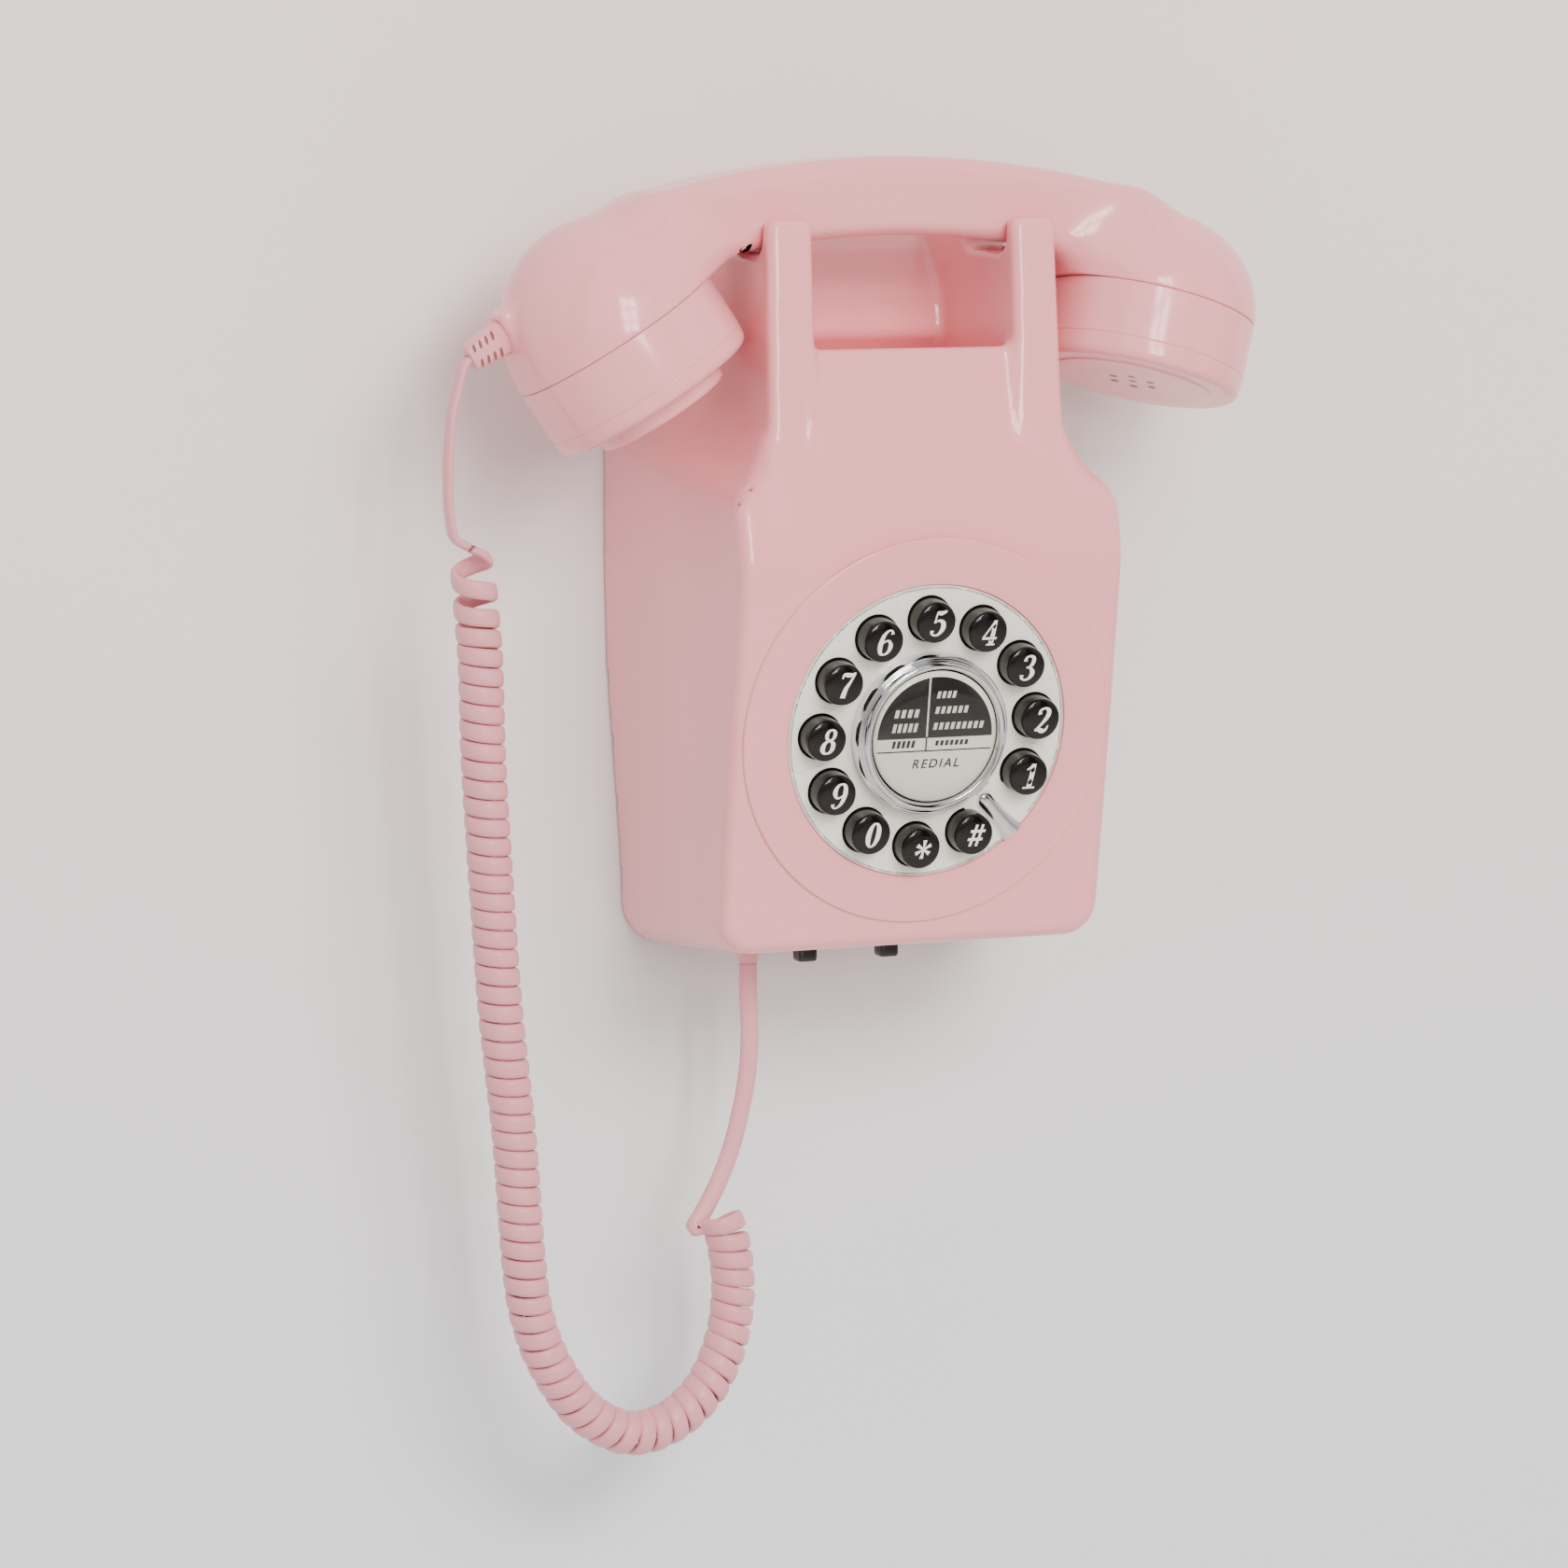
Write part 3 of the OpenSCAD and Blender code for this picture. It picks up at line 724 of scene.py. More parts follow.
@dataclass
class Studio:
    """The camera, the lights, the wall behind the telephone and the floor."""

    eye: tuple[float, float, float] = (-673.4, -1568.5, 180.6)
    yaw: float = 23.04
    pitch: float = -6.81
    lens: float = 141.47
    wall_y: float = 0.6
    floor_z: float = -900.0
    pane_power: float = 6.0
    fill_power: float = 46.0
    room_power: float = 1.0
    window_mm: float = 2300.0
    pane_pitch: tuple[float, float] = (330.0, 450.0)
    pane_size: tuple[float, float] = (250.0, 370.0)

    def camera(self) -> bpy.types.Object:
        """Makes the camera, which looks from the left and a little above.

        Returns:
            The camera.
        """
        data = bpy.data.cameras.new("camera")
        data.lens = self.lens
        data.sensor_width = 36.0
        data.clip_end = 20.0
        camera = bpy.data.objects.new("camera", data)
        bpy.context.scene.collection.objects.link(camera)
        camera.location = [v * MM for v in self.eye]
        camera.rotation_euler = (math.radians(90 + self.pitch), 0, math.radians(-self.yaw))
        bpy.context.scene.camera = camera
        return camera

    def room(self) -> None:
        """Makes the wall, which can't be seen from behind, and the floor.

        The wall is open behind the case, so that light from behind reaches its back.
        """
        wide, low, high, y = 4000.0, self.floor_z, 4000.0, self.wall_y
        sheets = [(-wide, low, wide, -58), (-wide, -58, -50, 48), (50, -58, wide, 48),
                  (-wide, 48, -38, 130), (38, 48, wide, 130), (-wide, 130, wide, high)]
        wall = np.array([[(x0, y, z0), (x1, y, z0), (x1, y, z1), (x0, y, z1)]
                         for x0, z0, x1, z1 in sheets]).reshape(-1, 3)
        floor = np.array([(-wide, -wide, low), (wide, -wide, low), (wide, y, low),
                          (-wide, y, low)])
        # Painted light: the wall goes from a warm colour high up to a cool one low down; the floor
        # is one even colour.
        for name, colour, bottom, points in (("stage_wall", "#e9dfdb", "#dfe4e8", wall),
                                             ("stage_floor", "#d9d7d5", "#d9d7d5", floor)):
            faces = np.arange(len(points)).reshape(-1, 4).tolist()
            piece = make_piece(name, points, faces, self.paint(name + "_paint", colour, bottom),
                               smooth=False)

    def paint(self, name: str, colour: str, low: str) -> bpy.types.Material:
        """A pale matt paint whose back can't be seen; its change from one colour high up to another
        low down is painted light.

        Args:
            name: The material's name.
            colour: The paint's sRGB colour high up.
            low: Its colour low down.

        Returns:
            The material.
        """
        material = empty_material(name)
        tree = material.node_tree
        place = add_node(tree, "ShaderNodeTexCoord")
        roller = add_node(tree, "ShaderNodeTexNoise", {"Scale": 1 / (6 * MM), "Detail": 2.0},
                          {"Vector": place.outputs["Object"]})
        skin = add_node(tree, "ShaderNodeBump", {"Strength": 0.05, "Distance": 0.3 * MM},
                        {"Height": roller.outputs["Fac"]})
        axes = add_node(tree, "ShaderNodeSeparateXYZ", None, {0: place.outputs["Object"]})
        rise = add_node(tree, "ShaderNodeMapRange", {"From Min": -0.2, "From Max": 0.2},
                        {"Value": axes.outputs["Z"]})
        # Painted light: the colour drifts from the warm tint high up to the cool tint low down.
        tint = add_node(tree, "ShaderNodeMix",
                        {"data_type": "RGBA", "A": srgb(low), "B": srgb(colour)},
                        {"Factor": rise.outputs["Result"]})
        matt = add_node(tree, "ShaderNodeBsdfPrincipled", {"Roughness": 0.85},
                        {"Base Color": tint.outputs["Result"],
                         "Normal": skin.outputs["Normal"]})
        through = add_node(tree, "ShaderNodeBsdfTransparent")
        side = add_node(tree, "ShaderNodeNewGeometry")
        both = add_node(tree, "ShaderNodeMixShader", None,
                        {0: side.outputs["Backfacing"], 1: matt.outputs["BSDF"],
                         2: through.outputs["BSDF"]})
        add_node(tree, "ShaderNodeOutputMaterial", None, {"Surface": both.outputs["Shader"]})
        return material

    def lamp(self, name: str, where: Array, target: Array, size: tuple[float, float],
             power: float, colour: str, seen: bool) -> None:
        """Makes an area light.

        Args:
            name: Its name.
            where: Its place in millimetres.
            target: The point that it faces.
            size: Its width and height in millimetres.
            power: Its power in watts.
            colour: Its sRGB colour.
            seen: Whether it shows in glossy things.
        """
        data = bpy.data.lights.new(name, "AREA")
        data.shape = "RECTANGLE"
        data.size, data.size_y = size[0] * MM, size[1] * MM
        data.energy = power
        data.color = srgb(colour)[:3]
        light = bpy.data.objects.new(name, data)
        bpy.context.scene.collection.objects.link(light)
        light.location = np.asarray(where) * MM
        light.rotation_euler = Vector(target - where).to_track_quat("-Z", "Y").to_euler()
        light.visible_glossy = seen

    def lights(self) -> None:
        """Makes a window of six panes above the camera, soft fill lights and the room."""
        target = np.array([0.0, -55.0, 60.0])
        middle = target + self.window_mm * np.array([-0.066, -0.937, 0.342])
        across, up = np.array([0.998, -0.07, 0.0]), np.array([0.024, 0.341, 0.94])
        for column in (-0.5, 0.5):
            for row in (-1, 0, 1):
                shift = column * self.pane_pitch[0] * across + row * self.pane_pitch[1] * up
                self.lamp(f"pane_{column}_{row}", middle + shift, target + shift,
                          self.pane_size, self.pane_power, "#fffaf4", True)
        self.lamp("fill_right", np.array([500.0, -2300.0, 1300.0]), target, (1100, 900),
                  self.fill_power, "#fff6ef", False)
        self.lamp("fill_left", np.array([-2000.0, -900.0, 200.0]), target, (700, 900),
                  0.12 * self.fill_power, "#eef2ff", False)
        self.room_light()

    def room_light(self) -> None:
        """Makes the room's light: a bright ceiling, dark wood low down and two dark doorways.

        The height of a direction picks a colour from brown through white, and its bearing
        picks the doorways. They only show in glossy things; elsewhere the room is pale.
        """
        world = bpy.data.worlds.new("room_light")
        bpy.context.scene.world = world
        world.use_nodes = True
        tree = world.node_tree
        back = tree.nodes["Background"]
        back.inputs["Strength"].default_value = self.room_power
        place = add_node(tree, "ShaderNodeTexCoord")
        axes = add_node(tree, "ShaderNodeSeparateXYZ", None, {0: place.outputs["Generated"]})
        height = add_node(tree, "ShaderNodeMapRange", {"From Min": -1.0, "From Max": 1.0},
                          {"Value": axes.outputs["Z"]})
        walls = add_node(tree, "ShaderNodeValToRGB", None, {"Fac": height.outputs["Result"]})
        ramp = walls.color_ramp
        for at, colour in ((0.30, "#3a2018"), (0.38, "#7a4a35"), (0.43, "#c9bcb6"),
                           (0.6, "#f2efed")):
            ramp.elements.new(at).color = srgb(colour)
        ramp.elements[0].color = srgb("#8d7466")
        ramp.elements[-1].color = srgb("#ffffff")
        bearing = add_node(tree, "ShaderNodeTexGradient", {"gradient_type": "RADIAL"},
                           {"Vector": place.outputs["Generated"]})
        doors = add_node(tree, "ShaderNodeValToRGB", None, {"Fac": bearing.outputs["Fac"]})
        ramp = doors.color_ramp
        light, dark = "#ffffff", "#2a2422"
        ramp.elements[0].color = ramp.elements[-1].color = srgb(light)
        for start, left, right, end in ((0.06, 0.075, 0.115, 0.13), (0.30, 0.315, 0.345, 0.36)):
            for at, colour in ((start, light), (left, dark), (right, dark), (end, light)):
                ramp.elements.new(at).color = srgb(colour)
        both = add_node(tree, "ShaderNodeMix",
                        {"data_type": "RGBA", "blend_type": "MULTIPLY", "Factor": 1.0},
                        {"A": walls.outputs["Color"], "B": doors.outputs["Color"]})
        path = add_node(tree, "ShaderNodeLightPath")
        seen = add_node(tree, "ShaderNodeMix", {"data_type": "RGBA", "A": srgb("#efedec")},
                        {"Factor": path.outputs["Is Glossy Ray"], "B": both.outputs["Result"]})
        tree.links.new(seen.outputs["Result"], back.inputs["Color"])


# ----------------------------------------------------------------------------------------
# The handset's cord
# ----------------------------------------------------------------------------------------


@dataclass
class HandsetCord:
    """One flat cord: a plain lead at the handset, the curly part, and a plain tail."""

    width: float = 4.9
    thickness: float = 2.3
    coil_d: float = 12.6
    turns: int = 64
    loose_turns: float = 2.5
    steps: int = 28
    spacing: float = 1.15
    section_points: int = 10
    squareness: float = 0.75
    tip: tuple[float, float, float] = (-119.2, -55.0, 100.0)
    coil_route: tuple = (
        (-118.5, -55, 47), (-117, -54, 33), (-116, -54, 20), (-115, -53, -5), (-113.5, -52, -25),
        (-112, -51, -43), (-109.5, -50, -73), (-105, -48, -108), (-102, -47, -143),
        (-99, -46, -159), (-93.5, -45, -172), (-84, -44, -185), (-71, -43, -192.5),
        (-58.5, -42, -191), (-47.5, -41, -183), (-40.5, -40, -170), (-38.5, -40, -155.5),
        (-40, -40, -142), (-42.5, -40, -135.5),
    )
    tail_route: tuple = (
        (-34, -40, -66), (-34, -40, -74), (-33.5, -40, -84), (-34, -40, -95), (-36, -40, -106),
        (-39, -40, -117), (-43, -40, -126.5), (-47, -40, -133.5), (-50.8, -40.2, -138.8),
    )

    def lead_route(self) -> list[tuple[float, float, float]]:
        """The lead's points, from the strain relief's tip down to the first turn."""
        return [self.tip, (-120.9, -55, 98.6), (-122.0, -55, 93.6), (-123.9, -55, 86),
                (-125, -55, 74), (-125, -55, 62), (-123.8, -55, 53)]

    def centreline(self) -> tuple[Array, Array]:
        """The strand's centreline and the direction of its flat side's normal.

        The coil's point at turn a lies at the coil route's point plus R (cos a side + sin a
        out), where side and out are square to the route; its normal points away from the
        route. The plain ends leave the coil along its first and last turns.

        Returns:
            The points and the normals, from the handset to the case.
        """
        lead = smooth_route(self.lead_route(), 1.2)
        axis = smooth_route(self.coil_route, 0.5)
        tail = smooth_route(self.tail_route, 1.2)[::-1]
        heading = unit(np.gradient(axis, axis=0))
        out = unit(np.cross(heading, np.array([0.0, 1.0, 0.0])))
        side = np.cross(heading, out)
        count = self.turns * self.steps
        t = np.linspace(0, 1, count + 1)
        spread = np.interp(t * self.turns, [0, self.loose_turns, self.turns - 1.0, self.turns],
                           [2.0, 1.0, 1.0, 1.35])
        at = np.r_[0, np.cumsum((spread[1:] + spread[:-1]) / 2)]
        at = at / at[-1] * (len(axis) - 1)
        index = np.arange(len(axis))
        a = math.pi + 2 * math.pi * self.turns * t
        radius = (self.coil_d - self.thickness) / 2
        outward = unit(np.cos(a)[:, None] * -sample(out, index, at)
                       + np.sin(a)[:, None] * sample(side, index, at))
        coil = sample(axis, index, at) + radius * outward
        line = np.vstack([lead, coil, tail])
        flat = np.vstack([np.tile([-1.0, 0.0, 0.0], (len(lead), 1)), outward,
                          np.tile([-0.3, -1.0, 0.0], (len(tail), 1))])
        return self.ease(line, flat)

    def ease(self, line: Array, flat: Array) -> tuple[Array, Array]:
        """Evens the spacing and rounds off the joins of the plain ends and the coil.

        Args:
            line: The raw points.
            flat: The raw normals.

        Returns:
            The evened points and normals.
        """
        along = distance_along(line)
        at = np.linspace(0, along[-1], int(along[-1] / self.spacing))
        even, turn = sample(line, along, at), sample(flat, along, at)
        for rows, rounds in ((even, 3), (turn, 6)):
            for _ in range(rounds):
                rows[1:-1] = 0.25 * rows[:-2] + 0.5 * rows[1:-1] + 0.25 * rows[2:]
        return even, unit(turn)

    def build(self) -> bpy.types.Object:
        """Makes the cord: a flat oval section carried along the centreline.

        Point b of the section at point i of the line lies at line + w cos b across +
        h sin b flat, with a squarish power that keeps the cord's sides flat.

        Returns:
            The cord's piece.
        """
        line, flat = self.centreline()
        heading = unit(np.gradient(line, axis=0))
        flat = unit(flat - (flat * heading).sum(1, keepdims=True) * heading)
        across = np.cross(heading, flat)
        c, s = squarish(self.section_points, self.squareness)
        c, s = c * self.width / 2, s * self.thickness / 2
        points = (line[:, None] + c[None, :, None] * across[:, None]
                  + s[None, :, None] * flat[:, None]).reshape(-1, 3)
        faces = grid_faces(len(line), len(c), around=True).tolist()
        last = (len(line) - 1) * len(c)
        faces += [list(range(len(c)))[::-1], [last + k for k in range(len(c))]]
        piece = make_piece("handset_cord", points, faces, finish(Finish.CORD), merge=1e-4)
        length = float(distance_along(line)[-1]) * MM
        LOG.info("handset_cord: %.3f m, %d points", length, len(line))
        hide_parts("cord_lead", "cord_coil", "cord_tail")
        self.line, self.length = line, length
        return piece


# ----------------------------------------------------------------------------------------
# The case
# ----------------------------------------------------------------------------------------


@dataclass
class Panel:
    """The front panel's own axes: x to the right, v up along it, w outwards."""

    dial_y: float = 82.0
    tilt: float = 9.0

    def place(self, points: Array) -> Array:
        """Turns panel points into the frame: y = -dial_y - v sin t - w cos t and so on.

        Args:
            points: Rows of x, v and w.

        Returns:
            Rows of x, y and z.
        """
        t = math.radians(self.tilt)
        x, v, w = points[..., 0], points[..., 1], points[..., 2]
        return np.stack([x, -self.dial_y - v * math.sin(t) - w * math.cos(t),
                         v * math.cos(t) - w * math.sin(t)], axis=-1)

    def read(self, x: Array, y: Array, z: Array) -> tuple[Array, Array, Array]:
        """The panel coordinates of points of the frame.

        Args:
            x: First coordinates in the frame, in millimetres.
            y: Second coordinates.
            z: Third coordinates.

        Returns:
            The panel's x, v and w.
        """
        t = math.radians(self.tilt)
        a, b = -(y + self.dial_y), z
        return x, a * math.sin(t) + b * math.cos(t), a * math.cos(t) - b * math.sin(t)


@dataclass
class FrontCase:
    """The moulded case with its two pillars, webs, saddles and pocket."""

    panel: Panel = field(default_factory=Panel)
    front_half_w: float = 55.5
    under_z: float = 65.5
    wall_t: float = 2.5
    web_in: float = 29.0
    web_out: float = 41.8
    pillar_z: float = 136.0
    saddle_z: float = 127.0
    pocket_z: float = 88.0
    dial_hole_r: float = 46.0
    pin_x: float = 35.5
    slots_x: tuple[tuple[float, float], ...] = ((-29.8, -18.2), (-5.8, 5.8))
    gland: tuple[float, float] = (-34.0, -40.0)
    gland_r: float = 3.6
    cell: float = 1.25

    def web_outline(self) -> Array:
        """Side outline of a web: leaning pillar, saddle and high back, as y and z.

        Returns:
            The outline's points.
        """
        top = self.pillar_z
        return rounded(
            [(0, 50), (-79.5, 50), (-77.4, 76), (-73.4, top), (-67.3, top - 0.6),
             (-67.3, self.saddle_z), (-42.7, self.saddle_z), (-39.5, top - 0.6),
             (0, top - 2.5), (0, 50)],
            [0, 0, 20, 2.6, 1.6, 6.3, 6.3, 4, 0, 0])[:-1]

    def belly_outline(self) -> Array:
        """Side outline of the wall at the pocket's back, with its round belly.

        Returns:
            The outline's points.
        """
        return rounded(
            [(0, 50), (-20, 50), (-20, 97), (-29, 103), (-27.6, 112), (-18, 125), (-9, 133),
             (0, self.pillar_z - 2.5), (0, 50)],
            [0, 0, 2, 4, 10, 14, 6, 0, 0])[:-1]

    def lip_outline(self) -> Array:
        """Side outline of the low front wall of the pocket, and of the pocket's floor.

        Returns:
            The outline's points.
        """
        return rounded(
            [(-10, 50), (-79.5, 50), (-77.2, 76), (-73.2, 101.4), (-69, 101.4),
             (-69, self.pocket_z), (-10, self.pocket_z), (-10, 50)],
            [0, 0, 8, 1.6, 1.6, 3, 0, 0])[:-1]

    def block(self, x: Array, y: Array, z: Array) -> Array:
        """Distance to the case's block, without the cradle.

        Its half width runs straight from the front to the wall, its underside falls towards
        the wall, its panel leans forward at the top, and its shoulders slope.

        Args:
            x: First coordinates in the frame, in millimetres.
            y: Second coordinates.
            z: Third coordinates.

        Returns:
            The distances, negative inside.
        """
        t = np.clip(-y / self.panel.dial_y, 0, 1.1)
        wall_half = np.interp(z, [-66, -38, -12, 13, 40], [54.6, 55.7, 57.6, 59.4, 60])
        half = t * self.front_half_w + (1 - t) * wall_half
        side = np.abs(x) - half
        under = -self.under_z - 0.093 * y - z
        rim = round_max(side, under, 12.0 - 3.5 * t)
        face = self.panel.read(x, y, z)[2]
        brow = -0.86 * (y + 90.3) + 0.51 * (z - 52.5)
        front = round_max(face, brow, 9.0)
        edge = 62.6 + 0.18 * (80 + y)
        rise = 0.85 * (half - np.abs(x))
        shoulder = (z - edge - np.minimum(rise, 10)) / 1.25
        return round_max(round_max(rim, front, 3.2), shoulder, 3.0)

    def distance(self, x: Array, y: Array, z: Array) -> Array:
        """Distance to the whole case, hollow and with its openings.

        Args:
            x: First coordinates in the frame, in millimetres.
            y: Second coordinates.
            z: Third coordinates.

        Returns:
            The distances, negative inside.
        """
        ax = np.abs(x)
        web_out = self.web_out + 0.02 * (130 - z)
        slab = np.maximum(ax - web_out, self.web_in - ax)
        web = round_max(slab, outline_distance(y, z, self.web_outline()), 2.6)
        between = ax - self.web_in - 1
        belly = np.maximum(between, outline_distance(y, z, self.belly_outline()))
        lip = np.maximum(between, outline_distance(y, z, self.lip_outline()))
        cradle = round_min(round_min(web, lip, 3.0), belly, 2.0)
        cradle = np.maximum(cradle, y)
        block = self.block(x, y, z)
        solid = np.maximum(round_min(np.maximum(block, y), cradle, 9.0), y)
        solid = np.maximum(solid, -(block + self.wall_t))
        px, pv, pw = self.panel.read(x, y, z)
        holes = [np.maximum(np.hypot(px, pv) - self.dial_hole_r, np.abs(pw) - 12),
                 np.maximum(np.hypot(x - self.gland[0], y - self.gland[1]) - self.gland_r, z + 52)]
        boxes = [((side * self.pin_x - 3.4, -59.4, 40), (side * self.pin_x + 3.4, -50.6, 160))
                 for side in (-1, 1)]
        boxes += [((low, -59.5, -80), (high, -52.5, -52)) for low, high in self.slots_x]
        holes += [box_distance((x, y, z), *box) for box in boxes]
        for hole in holes:
            solid = np.maximum(solid, -hole)
        return solid

    def build(self) -> bpy.types.Object:
        """Makes the case as the level surface of its distance function.

        Returns:
            The case's piece.
        """
        points, quads = level_surface(self.distance, (-63, -96, -69), (63, 2, 139), self.cell)
        points[:, 1] = np.minimum(points[:, 1], 0)
        piece = make_piece("case", points, quads, finish(Finish.CASE))
        return settle_in(piece, "root", "case_pink", "front_case", "cradle_left",
                         "cradle_right", "pocket_front", "pocket_back")


# ----------------------------------------------------------------------------------------
# The handset
# ----------------------------------------------------------------------------------------


@dataclass(frozen=True)
class Cup:
    """One cup: its parting plane's middle and lean, its dome's height and its face."""

    side: int
    z: float
    tilt: float
    dome: float
    face_r: float
    node: str
    name: str
    x: float = 78.5
    y: float = -55.0
    r: float = 29.4
    lean: float = 8.5
    cap_h: float = 21.0
    shoulder_z: float = -20.2
    step: float = 3.9
    dish: float = 1.9
    groove: float = 0.22
    holes_ring_r: float = 6.0
    hole_r: float = 1.1

    def axes(self) -> Array:
        """The rows of this matrix are the cup's own x, y and z in the frame."""
        a, b = math.radians(self.side * self.tilt), math.radians(-self.lean)
        turn = np.array([[math.cos(a), 0, math.sin(a)], [0, 1, 0], [-math.sin(a), 0, math.cos(a)]])
        lean = np.array([[1, 0, 0], [0, math.cos(b), -math.sin(b)], [0, math.sin(b), math.cos(b)]])
        return (lean @ turn).T

    def middle(self) -> Array:
        """The middle of the parting plane."""
        return np.array([self.side * self.x, self.y, self.z])

    def place(self, points: Array) -> Array:
        """Turns points on the cup's own axis into the frame."""
        return points @ self.axes() + self.middle()

    def read(self, x: Array, y: Array, z: Array) -> tuple[Array, Array, Array]:
        """The cup's own coordinates of points of the frame.

        Args:
            x: First coordinates in the frame, in millimetres.
            y: Second coordinates.
            z: Third coordinates.

        Returns:
            The cup's own x, y and z.
        """
        c = self.middle()
        return tuple(r[0] * (x - c[0]) + r[1] * (y - c[1]) + r[2] * (z - c[2])
                     for r in self.axes())

    def distance(self, x: Array, y: Array, z: Array) -> Array:
        """Distance to the cup: a dome above its parting plane, and straight sides below.

        Args:
            x: First coordinates in the frame, in millimetres.
            y: Second coordinates.
            z: Third coordinates.

        Returns:
            The distances, negative inside.
        """
        u, v, w = self.read(x, y, z)
        tall = np.where(w > 0, w * self.r / self.dome, 0.0)
        radius = np.sqrt(u**2 + v**2 + tall**2)
        flat = np.sqrt(u**2 + v**2 + np.where(w > 0, w * (self.r / self.dome) ** 2, 0.0) ** 2)
        ball = (radius - self.r) * np.clip(radius / np.maximum(flat, 1e-6), 0.5, 2)
        return round_max(ball, -w - 6, 2.0)

    def cap(self) -> bpy.types.Object:
        """Makes the cap: rim, groove, rounded shoulder and stepped face, with flat black discs of
        painted shade for its holes.

        The profile is turned about the cup's axis; a seam line runs round its shoulder.

        Returns:
            The cap's piece.
        """
        r, g, f, z, h = self.r, self.groove, self.face_r, self.shoulder_z, self.cap_h
        profile = rounded(
            [(r - 3, -g), (r - 0.3, -g), (r, -g - 0.3), (r, -h + 6.0), (r - 0.3, -h + 5.8),
             (r - 0.05, -h + 5.5), (r - 0.5, z), (f + 1.6, z), (f, z - 0.1),
             (f - 0.3, z - self.step), (f - 3, z - self.step - 0.1),
             (0, z - self.step + self.dish), (0, z + 0.5), (f - 3, z + 0.5),
             (r - 3, -h + 5), (r - 3, -g)],
            [0, 0.2, 0.3, 0.15, 0.1, 0.3, 5.4, 1.2, 0.5, 0.5 * self.step, 8, 0, 0, 1, 1, 0], 7)
        points, quads = revolve(profile, 128)
        # Each hole is a flat black disc laid just proud of the face: painted shade in place of a
        # real opening.
        holes = []
        ring = np.linspace(0, 2 * math.pi, 16, endpoint=False)
        for k in range(7):
            a = math.radians(60 * k)
            d = self.holes_ring_r if k < 6 else 0.0
            level = z - self.step + self.dish - (self.dish + 0.1) * d / (f - 3) - 0.08
            rim = np.stack([d * math.cos(a) + self.hole_r * np.cos(ring),
                            d * math.sin(a) + self.hole_r * np.sin(ring), level + 0 * ring],
                           axis=1)
            holes.append((self.place(rim), [list(range(16))], finish(Finish.KEY)))
        piece = make_piece(self.name, self.place(points), quads, finish(Finish.CASE),
                           merge=1e-3, extra=holes)
        return settle_in(piece, "handset", "handset_pink", self.node)


MOUTH = Cup(-1, 105.8, 32.0, 32.0, 19.0, "mouthpiece_cap", "mouth_cap", step=4.7)
EAR = Cup(1, 110.6, 16.8, 26.5, 22.5, "earpiece_cap", "ear_cap", shoulder_z=-21.2, step=0.5,
          dish=0.4)


